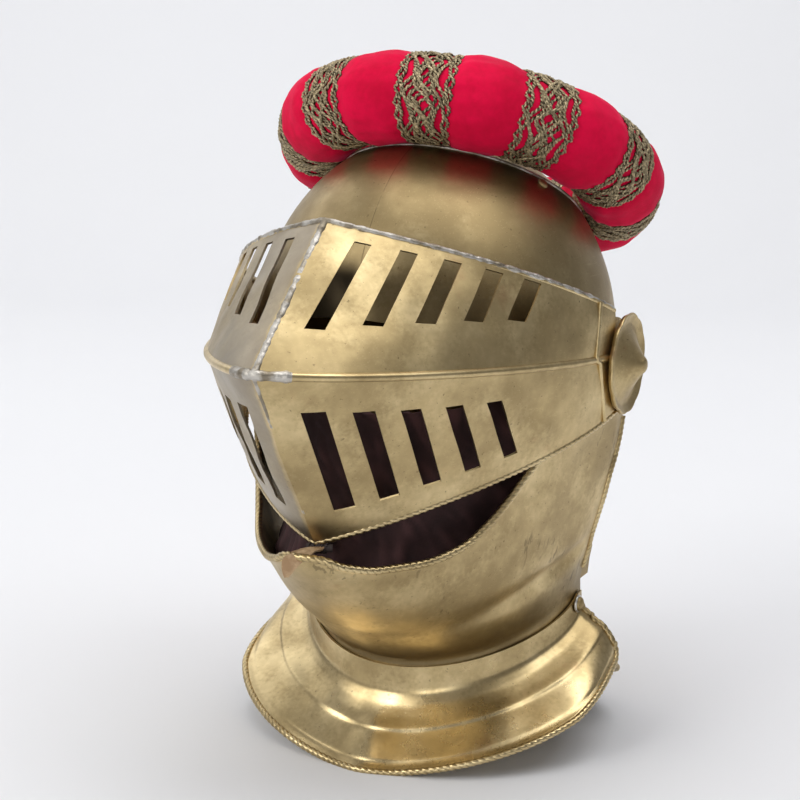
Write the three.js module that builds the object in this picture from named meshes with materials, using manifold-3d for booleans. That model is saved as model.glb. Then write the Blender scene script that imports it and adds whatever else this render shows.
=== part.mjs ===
// A brass close helmet with a pointed slotted visor, a bevor with a flared
// neck plate, and a padded cloth wreath round the crown.
// Millimetres, +Z up. The face looks along -Y and the wearer's left is +X.
// The helmet stands on the front and back arcs of its neck plates.

import * as THREE from 'three';
import { mergeVertices } from 'three/addons/utils/BufferGeometryUtils.js';
import Module from 'manifold-3d';

const wasm = await Module();
wasm.setup();

// Driving dimensions

const PLATE = 1.2;            // brass sheet
const GAP = 0.3;              // between pieces that touch

const SKULL_WIDTH = 96;       // half width at the temples
const SKULL_DEPTH = 106;      // half depth
const SKULL_HEIGHT = 110;     // from the temples to the top of the dome
const SKULL_Y = 9.5;          // widest station, behind the frame's zero
const TEMPLE_Z = 219;         // height of the temples over the floor
const NAPE_WIDTH = 68;        // half width where the tail meets the neck
const NAPE_DEPTH = 70;        // behind the widest station, at the neck

const CROWN_TILT = 27.5;      // degrees that the wreath's plane leans back
const CROWN_EDGE_BACK = 0.288; // centre of the bowl's upper edge, share of the depth
const CROWN_EDGE_UP = 0.664;  // and share of the dome's height
const CROWN_EDGE_Y = SKULL_Y + CROWN_EDGE_BACK * SKULL_DEPTH;
const CROWN_EDGE_Z = TEMPLE_Z + CROWN_EDGE_UP * SKULL_HEIGHT;
const CROWN_LAP = 9;          // the crown cap runs this far under the bowl

const FACE_WIDTH = 60;        // half width of the face opening
const BROW_Z = 243;           // top of the face opening
const CHEEK_Y = -6;           // front edge of the bowl beside the jaw

const PIVOT_Y = 12;
const PIVOT_Z = 212;
const PIN_RADIUS = 3;
const PIN_CLEARANCE = 0.4;
const NUT_STANDOFF = 1.3;     // from the skull's curved inner face

const BEVOR_EASE = 5.5;       // side room between the skull and the bevor's outer face
const VISOR_EASE = 3.5;       // side room between the bevor and the visor's outer face
const BEVOR_WIDTH = SKULL_WIDTH + BEVOR_EASE;
const VISOR_WIDTH = BEVOR_WIDTH + VISOR_EASE; // half width at the pivots
const VISOR_REAR_Y = -3;
const RIDGE_FRONT_Y = -193;   // the beak
const RIDGE_FRONT_Z = 232;
const RIDGE_REAR_Z = 218;
const KEEL_TOP_Y = -123;
const KEEL_TOP_Z = 294;
const VISOR_TOP_REAR_Z = 242;
const KEEL_FOOT_Y = -133;
const KEEL_FOOT_Z = 138;
const VISOR_LOW_REAR_Z = 188;
const VISOR_LOW_REAR_Y = 5;
const EDGE_ROLL = 1.5;        // radius of the rolled and roped edges
const TOP_ROLL = 1.2;
const RIDGE_BEAD = 1.6;       // radius of the bead along the ridge
const EAR_RADIUS = 20;        // visor's ear round the pivot

const BEVOR_Y = 25;           // widest station of the bevor and of the neck plates
const BEVOR_FRONT = 172;      // reach of the chin in front of that station
const BEVOR_REAR = 78;
const BEVOR_COLUMNS = 32;
const BEVOR_EAR_RADIUS = 24;
const CHIN_Z = 134;           // front of the bevor's upper edge
const NECK_Z = 78;            // top of the neck plate's collar beside the neck
const NECK_SAG = 30;          // the collar dips this far at the throat
const NECK_WIDTH = 79;
const NECK_FRONT = 74;

const GORGET_WIDTH = 111;     // half width of the front plate's rim
const GORGET_FRONT = 106.4;   // its reach in front of the widest station
const GORGET_BLUNT = 2.45;
const NAPE_PLATE_WIDTH = 104; // half width of the rear plate's rim
const NAPE_PLATE_REAR = 72;   // its reach behind the widest station
const GORGET_RISE = 47;       // the rims' climb from their feet to the shoulders
const GORGET_FOOT = 8;        // degrees each side that stand on the floor
const GORGET_SHOULDER = 100;  // degrees from the foot to the shoulder
const GORGET_SPLIT_Y = 33;    // where the front and rear plates part
const GORGET_PART = 1.6;      // open joint between them
const RIM_DRAW = 0.07;        // the rims draw in this share towards the shoulders
const DRAW_FROM = 65;         // degrees from the foot where that starts
const FOOT_CUT = 0.6;         // the floor faces filed off the rolled rims
const COLLAR_HEIGHT = 11;     // collar that clasps the neck

const ROSETTE_RADIUS = 27;
const ROSETTE_LOBES = 12;
const ROSETTE_LOBE_DEPTH = 1.6;
const BOSS_RADIUS = 12.5;
const BOSS_HEIGHT = 14;

const WREATH_OVERHANG = 18.2; // its centre line lies this far outside the bowl's edge,
const WREATH_BACK_OVERHANG = 6.3; // and this far at its front and back
const WREATH_TUBE = 23.5;
const WREATH_LIFT = 20.8;     // its centre over the plane of the bowl's upper edge
const WREATH_BACK = 2;        // and behind the middle of that edge
const LACE_BANDS = 10;
const LACE_FIRST = 8;         // degrees from the front to the first band's middle
const LACE_WIDTH = 25;
const LACE_THICKNESS = 1;
const LACE_SINK = 1.6;        // the bands pull the padding in by this much

const LINING = 2;             // cloth
const LINING_TOP_Z = 200;
const LINING_FOOT_Z = 94;
const LINING_STANDOFF = 1.8;

const RIVET_SIDES = 8;
const RIVET_RADIUS = 4;
const WASHER_RADIUS = 5;
const WASHER_HEIGHT = 0.8;
const SHANK_SHARE = 0.45;     // of a rivet head's radius
const HOLE_REACH = 20;
const NECK_RIVET_Y = 24;
const CROWN_RIVET_ANGLES = [60, 120, 240, 300]; // degrees from the front
const CROWN_RIVET_RADIUS = 3;
const NAPE_RIVET_ANGLE = 50;  // degrees each side of the back
const STRIP_EASE = 1.2;       // between the strips and the bevor's curved wall
const STRIP_ROWS = [
  // height over the collar's top, then the strip's ends behind the widest station
  { up: 4, from: 2, to: 27 },
  { up: 14, from: 0, to: 25 },
  { up: 22, from: 2, to: 23 },
];
const TAB_THICKNESS = 1.6;

const RAD = Math.PI / 180;
const lerp = (a, b, t) => a + (b - a) * t;
const V = (x, y, z) => new THREE.Vector3(x, y, z);

// Materials

const metal = (color, roughness) =>
  new THREE.MeshStandardMaterial({ color, roughness, metalness: 1 });
const cloth = (color) =>
  new THREE.MeshStandardMaterial({ color, roughness: 0.9, metalness: 0 });
const BRASS = metal(0xb89c5e, 0.35);
const LACE = metal(0x8a7850, 0.6);
const CRIMSON = cloth(0xc4003a);
const BURGUNDY = cloth(0x3a2428);
const LEATHER = cloth(0xcfae84);

// Solids from surfaces

function toSolid(geometry) {
  const bare = geometry.clone();
  bare.deleteAttribute('normal');
  bare.deleteAttribute('uv');
  const merged = mergeVertices(bare, 1e-4);
  const position = merged.getAttribute('position').array;
  const index = merged.getIndex().array;
  const triangles = [];
  for (let i = 0; i < index.length; i += 3) {
    const [a, b, c] = [index[i], index[i + 1], index[i + 2]];
    if (a !== b && b !== c && a !== c) triangles.push(a, b, c);
  }
  return new wasm.Manifold(new wasm.Mesh({
    numProp: 3,
    vertProperties: new Float32Array(position),
    triVerts: new Uint32Array(triangles),
  }));
}

function toGeometry(solid) {
  const mesh = solid.getMesh();
  const geometry = new THREE.BufferGeometry();
  geometry.setAttribute('position', new THREE.BufferAttribute(mesh.vertProperties, 3));
  geometry.setIndex(new THREE.BufferAttribute(mesh.triVerts, 1));
  geometry.computeVertexNormals();
  return geometry;
}

function fromTriangles(points, faces) {
  const geometry = new THREE.BufferGeometry();
  const flat = points.flatMap((p) => [p.x, p.y, p.z]);
  geometry.setAttribute('position', new THREE.Float32BufferAttribute(flat, 3));
  geometry.setIndex(faces.flat());
  let volume = 0;
  for (const [a, b, c] of faces) {
    volume += points[a].dot(V(0, 0, 0).crossVectors(points[b], points[c]));
  }
  if (volume < 0) geometry.setIndex(faces.flatMap(([a, b, c]) => [a, c, b]));
  return geometry;
}

// A sheet of even thickness behind a grid of points, rows by columns.
// A ring sheet closes on itself along its rows.
function sheet(grid, thickness, ring = false) {
  const rows = grid.length;
  const columns = grid[0].length;
  const at = (i, j) => {
    const row = Math.min(Math.max(i, 0), rows - 1);
    const column = ring ? (j + columns) % columns : Math.min(Math.max(j, 0), columns - 1);
    return grid[row][column];
  };
  const front = [];
  const back = [];
  for (let i = 0; i < rows; i += 1) {
    for (let j = 0; j < columns; j += 1) {
      const along = at(i, j + 1).clone().sub(at(i, j - 1));
      const across = at(i + 1, j).clone().sub(at(i - 1, j));
      const normal = along.cross(across).normalize();
      front.push(at(i, j).clone());
      back.push(at(i, j).clone().addScaledVector(normal, -thickness));
    }
  }
  const points = [...front, ...back];
  const shift = front.length;
  const faces = [];
  const quad = (a, b, c, d) => faces.push([a, b, c], [a, c, d]);
  const id = (i, j) => i * columns + (j % columns);
  const spans = ring ? columns : columns - 1;
  for (let j = 0; j < spans; j += 1) {
    for (let i = 0; i < rows - 1; i += 1) {
      const [a, b, c, d] = [id(i, j), id(i, j + 1), id(i + 1, j + 1), id(i + 1, j)];
      quad(a, b, c, d);
      quad(d + shift, c + shift, b + shift, a + shift);
    }
    quad(id(0, j + 1), id(0, j), id(0, j) + shift, id(0, j + 1) + shift);
    const last = rows - 1;
    quad(id(last, j), id(last, j + 1), id(last, j + 1) + shift, id(last, j) + shift);
  }
  if (!ring) {
    const end = columns - 1;
    for (let i = 0; i < rows - 1; i += 1) {
      quad(id(i, 0), id(i + 1, 0), id(i + 1, 0) + shift, id(i, 0) + shift);
      quad(id(i + 1, end), id(i, end), id(i, end) + shift, id(i + 1, end) + shift);
    }
  }
  return fromTriangles(points, faces);
}

// A closed body through level sections, each { z, y, width, front, rear, point, sag }.
// A point below 2 draws the front in towards a keel, and a sag lowers the front.
function loft(sections, columns = 28) {
  const points = [];
  const faces = [];
  for (const section of sections) {
    for (let j = 0; j < columns; j += 1) {
      const angle = (2 * Math.PI * j) / columns;
      const c = Math.cos(angle);
      const reach = c > 0
        ? -section.front * c ** (2 / section.point)
        : section.rear * -c;
      const z = section.z - (section.sag ?? 0) * Math.max(c, 0);
      points.push(V(section.width * Math.sin(angle), section.y + reach, z));
    }
  }
  const last = (sections.length - 1) * columns;
  for (let j = 0; j < columns; j += 1) {
    const next = (j + 1) % columns;
    for (let i = 0; i < last; i += columns) {
      faces.push([i + j, i + next, i + columns + next], [i + j, i + columns + next, i + columns + j]);
    }
  }
  const low = points.push(V(0, sections[0].y, sections[0].z)) - 1;
  const high = points.push(V(0, sections.at(-1).y, sections.at(-1).z)) - 1;
  for (let j = 0; j < columns; j += 1) {
    const next = (j + 1) % columns;
    faces.push([low, next, j], [high, last + j, last + next]);
  }
  return toSolid(fromTriangles(points, faces));
}

const shrink = (section, wall) => ({
  ...section,
  width: section.width - wall,
  front: section.front - wall,
  rear: section.rear - wall,
});

// A prism through the helmet from side to side, drawn in (y, z).
function sidePrism(points, halfWidth) {
  const shape = new THREE.Shape(points.map(([y, z]) => new THREE.Vector2(y, z)));
  const geometry = new THREE.ExtrudeGeometry(shape, {
    depth: 2 * halfWidth,
    bevelEnabled: false,
  });
  geometry.rotateX(Math.PI / 2);
  geometry.rotateZ(Math.PI / 2);
  geometry.translate(-halfWidth, 0, 0);
  return toSolid(geometry);
}

// A prism through the helmet from front to back, drawn in (x, z).
function frontPrism(points, fromY, toY) {
  const shape = new THREE.Shape(points.map(([x, z]) => new THREE.Vector2(x, z)));
  const geometry = new THREE.ExtrudeGeometry(shape, {
    depth: toY - fromY,
    bevelEnabled: false,
  });
  geometry.rotateX(Math.PI / 2);
  geometry.translate(0, toY, 0);
  return toSolid(geometry);
}

// A round bar along X, between two stations.
function bar(fromX, toX, radius, y, z, toRadius = radius, sides = 16) {
  const geometry = new THREE.CylinderGeometry(toRadius, radius, toX - fromX, sides);
  geometry.rotateZ(-Math.PI / 2);
  geometry.translate((fromX + toX) / 2, y, z);
  return toSolid(geometry);
}

// A rolled edge, a round bead swept along points.
function roll(points, radius, sides = 5, steps = points.length - 1) {
  const shape = new THREE.Shape();
  for (let k = 0; k < sides; k += 1) {
    const angle = (2 * Math.PI * k) / sides;
    const [x, y] = [radius * Math.cos(angle), radius * Math.sin(angle)];
    if (k === 0) shape.moveTo(x, y);
    else shape.lineTo(x, y);
  }
  shape.closePath();
  const extrudePath = new THREE.CatmullRomCurve3(points);
  return toSolid(new THREE.ExtrudeGeometry(shape, { steps, extrudePath }));
}

const mirrored = (points) => [
  ...points.slice(1).reverse().map((p) => V(-p.x, p.y, p.z)),
  ...points,
];

// The bowl of the skull: a dome whose tail narrows down the nape

const TAIL_ROWS = [
  // share of the drop from the temples to the neck, share of the narrowing
  { drop: 1, narrowing: 1 },
  { drop: 0.91, narrowing: 1 },
  { drop: 0.78, narrowing: 0.84 },
  { drop: 0.6, narrowing: 0.54 },
  { drop: 0.4, narrowing: 0.24 },
  { drop: 0.2, narrowing: 0.06 },
];
const DOME_ROWS = 6;

function skullSections(inset) {
  const tail = TAIL_ROWS.map(({ drop, narrowing }) => ({
    z: lerp(TEMPLE_Z, NECK_Z - COLLAR_HEIGHT, drop),
    y: SKULL_Y,
    width: lerp(SKULL_WIDTH, NAPE_WIDTH, narrowing) - inset,
    front: lerp(SKULL_DEPTH, NAPE_DEPTH, narrowing) - inset,
    rear: lerp(SKULL_DEPTH, NAPE_DEPTH, narrowing) - inset,
    point: 2,
  }));
  const dome = [];
  for (let i = 0; i < DOME_ROWS; i += 1) {
    const angle = (i / DOME_ROWS) * 90 * RAD;
    dome.push({
      z: TEMPLE_Z + (SKULL_HEIGHT - inset) * Math.sin(angle),
      y: SKULL_Y,
      width: (SKULL_WIDTH - inset) * Math.cos(angle),
      front: (SKULL_DEPTH - inset) * Math.cos(angle),
      rear: (SKULL_DEPTH - inset) * Math.cos(angle),
      point: 2,
    });
  }
  return [...tail, ...dome];
}

// A thick slab over or under the tilted plane of the bowl's upper edge.
function tiltedSlab(offset, above) {
  const size = 4 * SKULL_DEPTH;
  const geometry = new THREE.BoxGeometry(size, size, size);
  geometry.translate(0, 0, offset + (above ? size : -size) / 2);
  geometry.rotateX(-CROWN_TILT * RAD);
  geometry.translate(0, CROWN_EDGE_Y, CROWN_EDGE_Z);
  return toSolid(geometry);
}

// A point over the plane of the bowl's upper edge, behind the middle of the edge.
function crownPoint(back, lift) {
  return V(0, back, lift).applyAxisAngle(V(1, 0, 0), -CROWN_TILT * RAD)
    .add(V(0, CROWN_EDGE_Y, CROWN_EDGE_Z));
}

const DOME_CENTRE = V(0, SKULL_Y, TEMPLE_Z);
const DOME_RADII = V(SKULL_WIDTH, SKULL_DEPTH, SKULL_HEIGHT);

// How far the dome's outer face lies from a point inside it, along a direction.
function domeReach(centre, direction) {
  const start = centre.clone().sub(DOME_CENTRE).divide(DOME_RADII);
  const run = direction.clone().divide(DOME_RADII);
  const [a, b, c] = [run.dot(run), 2 * start.dot(run), start.dot(start) - 1];
  return (-b + Math.sqrt(b * b - 4 * a * c)) / (2 * a);
}

function pinHoles(radius) {
  const reach = VISOR_WIDTH + BOSS_HEIGHT;
  return bar(-reach, reach, radius, PIVOT_Y, PIVOT_Z);
}

function makeSkullBowl() {
  const shell = loft(skullSections(0)).subtract(loft(skullSections(PLATE)));
  const below = NECK_Z - 2 * COLLAR_HEIGHT;
  const archHeight = BROW_Z - TEMPLE_Z;
  const face = [[-FACE_WIDTH, below], [FACE_WIDTH, below]];
  for (let k = 0; k <= 8; k += 1) {
    const angle = (k / 8) * 180 * RAD;
    face.push([FACE_WIDTH * Math.cos(angle), TEMPLE_Z + archHeight * Math.sin(angle)]);
  }
  const jaw = [
    [-2 * SKULL_DEPTH, below], [CHEEK_Y, below], [CHEEK_Y, TEMPLE_Z - archHeight],
    [CHEEK_Y - archHeight, TEMPLE_Z - archHeight / 4], [-2 * SKULL_DEPTH, TEMPLE_Z - archHeight / 4],
  ];
  const floorCut = new THREE.BoxGeometry(4 * SKULL_DEPTH, 4 * SKULL_DEPTH, SKULL_HEIGHT);
  floorCut.translate(0, 0, NECK_Z - COLLAR_HEIGHT + PLATE - SKULL_HEIGHT / 2);
  return shell
    .intersect(tiltedSlab(0, false))
    .subtract(frontPrism(face, -2 * SKULL_DEPTH, SKULL_Y))
    .subtract(sidePrism(jaw, 2 * SKULL_WIDTH))
    .subtract(toSolid(floorCut))
    .subtract(pinHoles(PIN_RADIUS + PIN_CLEARANCE));
}

function makeSkullCrown() {
  const outer = PLATE + GAP;
  return loft(skullSections(outer))
    .subtract(loft(skullSections(outer + PLATE)))
    .intersect(tiltedSlab(-CROWN_LAP, true));
}

// The visor: two flat-ruled panels each side between three edge curves

const VISOR_COLUMNS = 9;
const SLOTS = 5;

// Shares of a panel: where slots start, their pitch and lean along the edge.
// Then the first and the last slot's width, foot and head.
const UPPER_SLOTS = {
  first: 0.061, pitch: 0.126, lean: [0.036, 0.036],
  width: [0.047, 0.06], foot: [0.3, 0.5], head: [0.91, 0.95],
};
const LOWER_SLOTS = {
  first: 0.07, pitch: 0.1115, lean: [0.002, 0.026],
  width: [0.055, 0.044], foot: [0.2, 0.26], head: [0.83, 0.81],
};

// Plan curve from the keel to the rear of a panel edge; shares of its run.
function edgeCurve(frontY, frontZ, rearY, rearZ, lift, bluntness) {
  const run = rearY - frontY;
  const plan = new THREE.CubicBezierCurve3(
    V(0, frontY, frontZ),
    V(bluntness * VISOR_WIDTH, frontY + 0.1 * run, frontZ),
    V(0.955 * VISOR_WIDTH, rearY - 0.4 * run, rearZ),
    V(VISOR_WIDTH, rearY, rearZ),
  );
  return (share) => {
    const point = plan.getPointAt(share);
    point.z = lerp(frontZ, rearZ, share) + lift * 4 * share * (1 - share);
    return point;
  };
}

const topCurve = edgeCurve(KEEL_TOP_Y, KEEL_TOP_Z, VISOR_REAR_Y, VISOR_TOP_REAR_Z, 4, 0.42);
const ridgeCurve = edgeCurve(RIDGE_FRONT_Y, RIDGE_FRONT_Z, VISOR_REAR_Y, RIDGE_REAR_Z, 0, 0.42);
const lowCurve = edgeCurve(KEEL_FOOT_Y, KEEL_FOOT_Z, VISOR_LOW_REAR_Y, VISOR_LOW_REAR_Z, 1, 0.42);

function curvePoints(curve, count = VISOR_COLUMNS) {
  return Array.from({ length: count + 1 }, (_, k) => curve(k / count));
}

// A slot's cutter: a quadrilateral of the panel, thickened both ways.
function slotCutter(near, far, row, slot, side) {
  const corner = (share, height) => {
    const point = near(share).lerp(far(share), height);
    point.x *= side;
    return point;
  };
  const mix = ([first, last]) => lerp(first, last, slot / (SLOTS - 1));
  const [from, lean, foot, head] = [
    row.first + slot * row.pitch, mix(row.lean), mix(row.foot), mix(row.head),
  ];
  const to = from + mix(row.width);
  const quad = [
    corner(from, foot), corner(to, foot), corner(to + lean, head), corner(from + lean, head),
  ];
  const normal = quad[1].clone().sub(quad[0]).cross(quad[3].clone().sub(quad[0])).normalize();
  const reach = 8 * PLATE;
  const points = [];
  for (const sign of [-1, 1]) {
    for (const p of quad) points.push(p.clone().addScaledVector(normal, sign * reach));
  }
  const faces = [[0, 1, 2], [0, 2, 3], [4, 6, 5], [4, 7, 6]];
  for (let k = 0; k < 4; k += 1) {
    const next = (k + 1) % 4;
    faces.push([k, next + 4, next], [k, k + 4, next + 4]);
  }
  return toSolid(fromTriangles(points, faces));
}

function makeVisor() {
  const edges = [topCurve, ridgeCurve, lowCurve].map((curve) => mirrored(curvePoints(curve)));
  const [top, ridge, low] = edges;
  let visor = toSolid(sheet(edges.toReversed(), PLATE));
  for (const side of [-1, 1]) {
    for (let slot = 0; slot < SLOTS; slot += 1) {
      visor = visor.subtract(slotCutter(ridgeCurve, topCurve, UPPER_SLOTS, slot, side));
      visor = visor.subtract(slotCutter(ridgeCurve, lowCurve, LOWER_SLOTS, slot, side));
    }
  }
  visor = visor.add(roll(ridge, RIDGE_BEAD)).add(roll(low, EDGE_ROLL)).add(roll(top, TOP_ROLL));
  for (const side of [-1, 1]) {
    const outer = side * VISOR_WIDTH;
    const inner = side * (VISOR_WIDTH - PLATE);
    const [from, to] = [Math.min(outer, inner), Math.max(outer, inner)];
    visor = visor.add(bar(from, to, EAR_RADIUS, PIVOT_Y, PIVOT_Z));
    const [near, far] = [side * VISOR_WIDTH, side * (VISOR_WIDTH + 2 * EDGE_ROLL)];
    const seat = [Math.min(near, far), Math.max(near, far)];
    visor = visor.subtract(bar(...seat, ROSETTE_RADIUS + GAP, PIVOT_Y, PIVOT_Z));
  }
  return visor.subtract(pinHoles(PIN_RADIUS + PIN_CLEARANCE));
}

// The bevor: chin and cheeks, open over the mouth, with ears on the pivots

const BEVOR_ROWS = [
  // height from the collar to the temples, then shares of the full width and
  // reach beyond the neck's, how pointed the front is, share of the sag
  { height: -0.1, width: 0, front: 0, point: 1.55, sag: 1 },
  { height: 0.02, width: 0, front: 0, point: 1.55, sag: 1 },
  { height: 0.08, width: 0.05, front: 0.2, point: 1.5, sag: 0.85 },
  { height: 0.17, width: 0.2, front: 0.5, point: 1.4, sag: 0.6 },
  { height: 0.29, width: 0.4, front: 0.8, point: 1.28, sag: 0.3 },
  { height: 0.42, width: 0.63, front: 1, point: 1.18, sag: 0.1 },
  { height: 0.57, width: 0.8, front: 1.03, point: 1.2, sag: 0 },
  { height: 0.85, width: 1, front: 1.03, point: 1.5, sag: 0 },
  { height: 1.2, width: 1, front: 1, point: 1.5, sag: 0 },
];

function bevorSections(inset) {
  return BEVOR_ROWS.map(({ height, width, front, point, sag }) => shrink({
    z: lerp(NECK_Z, TEMPLE_Z, height),
    y: BEVOR_Y,
    width: lerp(NECK_WIDTH, BEVOR_WIDTH, width),
    front: lerp(NECK_FRONT, BEVOR_FRONT, front),
    rear: BEVOR_REAR,
    point,
    sag: sag * NECK_SAG,
  }, inset));
}

// The mouth edge in side view, as reach behind the chin and rise over it,
// shares of the chin's reach and of the height from chin to pivot.
const MOUTH_EDGE = [
  { back: -0.2, rise: 0.02 },
  { back: 0, rise: 0 },
  { back: 0.05, rise: -0.06 },
  { back: 0.14, rise: -0.1 },
  { back: 0.26, rise: -0.1 },
  { back: 0.4, rise: -0.05 },
  { back: 0.52, rise: 0.09 },
  { back: 0.64, rise: 0.33 },
  { back: 0.76, rise: 0.6 },
];

function mouthPoints() {
  const reach = BEVOR_FRONT - BEVOR_Y;
  return MOUTH_EDGE.map(({ back, rise }) => [
    -reach * (1 - back),
    CHIN_Z + rise * (PIVOT_Z - CHIN_Z),
  ]);
}

const BEVOR_BACK = [
  // y behind the pivot, share of the height from the neck to the pivot
  { behind: 27, height: 0.8 },
  { behind: 23, height: 0.62 },
  { behind: 16, height: 0.45 },
  { behind: 16, height: 0.3 },
  { behind: 20, height: 0.18 },
  { behind: 21, height: 0.08 },
  { behind: 24, height: 0 },
  { behind: 24, height: -0.25 },
];

function bevorProfile() {
  const outline = mouthPoints();
  for (let k = 0; k <= 8; k += 1) {
    const angle = (170 - k * 21) * RAD;
    outline.push([
      PIVOT_Y + BEVOR_EAR_RADIUS * Math.cos(angle),
      PIVOT_Z + BEVOR_EAR_RADIUS * Math.sin(angle),
    ]);
  }
  for (const { behind, height } of BEVOR_BACK) {
    outline.push([PIVOT_Y + behind, lerp(NECK_Z, PIVOT_Z, height)]);
  }
  outline.push([-2 * BEVOR_FRONT, outline.at(-1)[1] - NECK_SAG]);
  return outline;
}

// The bevor's section at a height, its front sagging below it.
function bevorSectionAt(z, inset) {
  const sections = bevorSections(inset);
  let k = 1;
  while (k < sections.length - 1 && sections[k].z < z) k += 1;
  const share = (z - sections[k - 1].z) / (sections[k].z - sections[k - 1].z);
  const mixed = {};
  for (const key of ['width', 'front', 'rear', 'point', 'sag']) {
    mixed[key] = lerp(sections[k - 1][key], sections[k][key], share);
  }
  return mixed;
}

function makeBevor() {
  const shell = loft(bevorSections(0), BEVOR_COLUMNS)
    .subtract(loft(bevorSections(PLATE), BEVOR_COLUMNS));
  const body = shell.intersect(sidePrism(bevorProfile(), 2 * BEVOR_WIDTH));
  return body.subtract(pinHoles(PIN_RADIUS + PIN_CLEARANCE));
}

// Neck plates, flared from a collar to a rolled rim that rests on the floor

const FLARE_ROWS = [
  // share of the way out to the rim, share of the way down to it
  { out: 0, down: 0 },
  { out: 0, down: 0.28 },
  { out: 0.1, down: 0.43 },
  { out: 0.27, down: 0.54 },
  { out: 0.4, down: 0.61 },
  { out: 0.46, down: 0.68 },
  { out: 0.74, down: 0.86 },
  { out: 1, down: 1 },
];

// Collars and rims are { y, width, reach, point, draw }, the angle starts at the foot,
// and the draw is the share of the width that is lost at the shoulder.
function ovalPoint({ y, width, reach, point, draw = 0 }, angle, facing) {
  const c = Math.cos(angle);
  const shoulder = Math.max(0, Math.abs(angle) / RAD - DRAW_FROM) / (90 - DRAW_FROM);
  const depth = c > 0 ? reach * c ** (2 / point) : BEVOR_REAR * c;
  return V(width * (1 - draw * shoulder) * Math.sin(angle), y + facing * depth, 0);
}

function rimHeight(angle) {
  const climb = (Math.abs(angle) / RAD - GORGET_FOOT) / (GORGET_SHOULDER - GORGET_FOOT);
  return EDGE_ROLL - FOOT_CUT + GORGET_RISE * Math.max(0, climb) ** 1.25;
}

function gorgetGrid(angles, rim, collar, facing) {
  return FLARE_ROWS.map(({ out, down }) => angles.map((angle) => {
    const top = NECK_Z - collar.sag * Math.max(Math.cos(angle), 0);
    const point = ovalPoint(collar, angle, facing).lerp(ovalPoint(rim, angle, facing), out);
    point.z = lerp(top, rimHeight(angle), down);
    return point;
  }));
}

function rangeAngles(span, count) {
  return Array.from({ length: count + 1 }, (_, k) => lerp(-span, span, k / count) * RAD);
}

// Everything ahead of the split, or everything behind it.
function splitCut(ahead) {
  const size = 4 * GORGET_WIDTH;
  const cut = new THREE.BoxGeometry(size, size, size);
  const edge = ahead ? GORGET_SPLIT_Y - GORGET_PART / 2 : GORGET_SPLIT_Y + GORGET_PART / 2;
  cut.translate(0, edge + (ahead ? size : -size) / 2, 0);
  return toSolid(cut);
}

// A neck plate with its rolled rim, filed flat where it stands on the floor.
function makeGorget(angles, rim, collar, ahead) {
  const facing = ahead ? -1 : 1;
  const grid = gorgetGrid(angles, rim, collar, facing);
  if (ahead) grid.reverse();
  const edge = ahead ? grid[0] : grid.at(-1);
  const floor = new THREE.BoxGeometry(4 * GORGET_WIDTH, 4 * GORGET_WIDTH, 2 * NECK_Z);
  floor.translate(0, 0, -NECK_Z);
  return toSolid(sheet(grid, PLATE))
    .add(roll(edge, EDGE_ROLL))
    .subtract(splitCut(ahead))
    .subtract(toSolid(floor));
}

function makeGorgetFront() {
  const clasp = GAP + PLATE;
  const collar = {
    y: BEVOR_Y,
    width: NECK_WIDTH + clasp,
    reach: NECK_FRONT + clasp,
    point: BEVOR_ROWS[0].point,
    sag: NECK_SAG,
  };
  const rim = {
    y: BEVOR_Y, width: GORGET_WIDTH, reach: GORGET_FRONT, point: GORGET_BLUNT, draw: RIM_DRAW,
  };
  const steps = 10;
  return makeGorget(rangeAngles((steps * 360) / BEVOR_COLUMNS, 2 * steps), rim, collar, true);
}

function makeGorgetRear() {
  const clasp = GAP + PLATE;
  const collar = {
    y: SKULL_Y,
    width: NAPE_WIDTH + clasp,
    reach: NAPE_DEPTH + clasp,
    point: 2,
    sag: 0,
  };
  const rim = {
    y: BEVOR_Y, width: NAPE_PLATE_WIDTH, reach: NAPE_PLATE_REAR, point: 2, draw: RIM_DRAW,
  };
  return makeGorget(rangeAngles(90, 14), rim, collar, false);
}

// Pivot rosettes, each one solid with its boss and its pin

function makeRosette(side) {
  const seat = VISOR_WIDTH + GAP;
  const shape = new THREE.Shape();
  const steps = 3 * ROSETTE_LOBES;
  for (let k = 0; k < steps; k += 1) {
    const angle = (2 * Math.PI * k) / steps;
    const lobe = Math.abs(Math.sin((angle * ROSETTE_LOBES) / 2));
    const radius = ROSETTE_RADIUS - ROSETTE_LOBE_DEPTH * (1 - lobe);
    const [x, y] = [radius * Math.cos(angle), radius * Math.sin(angle)];
    if (k === 0) shape.moveTo(x, y);
    else shape.lineTo(x, y);
  }
  shape.closePath();
  const disc = new THREE.ExtrudeGeometry(shape, { depth: PLATE, bevelEnabled: false });
  disc.rotateY(Math.PI / 2);
  disc.translate(seat, PIVOT_Y, PIVOT_Z);
  const boss = bar(seat + PLATE / 2, seat + BOSS_HEIGHT, BOSS_RADIUS, PIVOT_Y, PIVOT_Z, 2.2);
  const pin = bar(SKULL_WIDTH - 4 * PLATE, seat + PLATE, PIN_RADIUS, PIVOT_Y, PIVOT_Z, PIN_RADIUS, 16);
  const rosette = toSolid(disc).add(boss).add(pin);
  return side > 0 ? rosette : rosette.mirror([1, 0, 0]);
}

// Nuts inside the skull that hold the pins

function makePivotNut(side) {
  const outer = SKULL_WIDTH - PLATE - NUT_STANDOFF;
  const nut = bar(outer - 2.4, outer, 2 * PIN_RADIUS, PIVOT_Y, PIVOT_Z, 2 * PIN_RADIUS, 6)
    .subtract(bar(0, 2 * SKULL_WIDTH, PIN_RADIUS + GAP, PIVOT_Y, PIVOT_Z));
  return side > 0 ? nut : nut.mirror([1, 0, 0]);
}

// The padded wreath and its bands of lace

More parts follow.
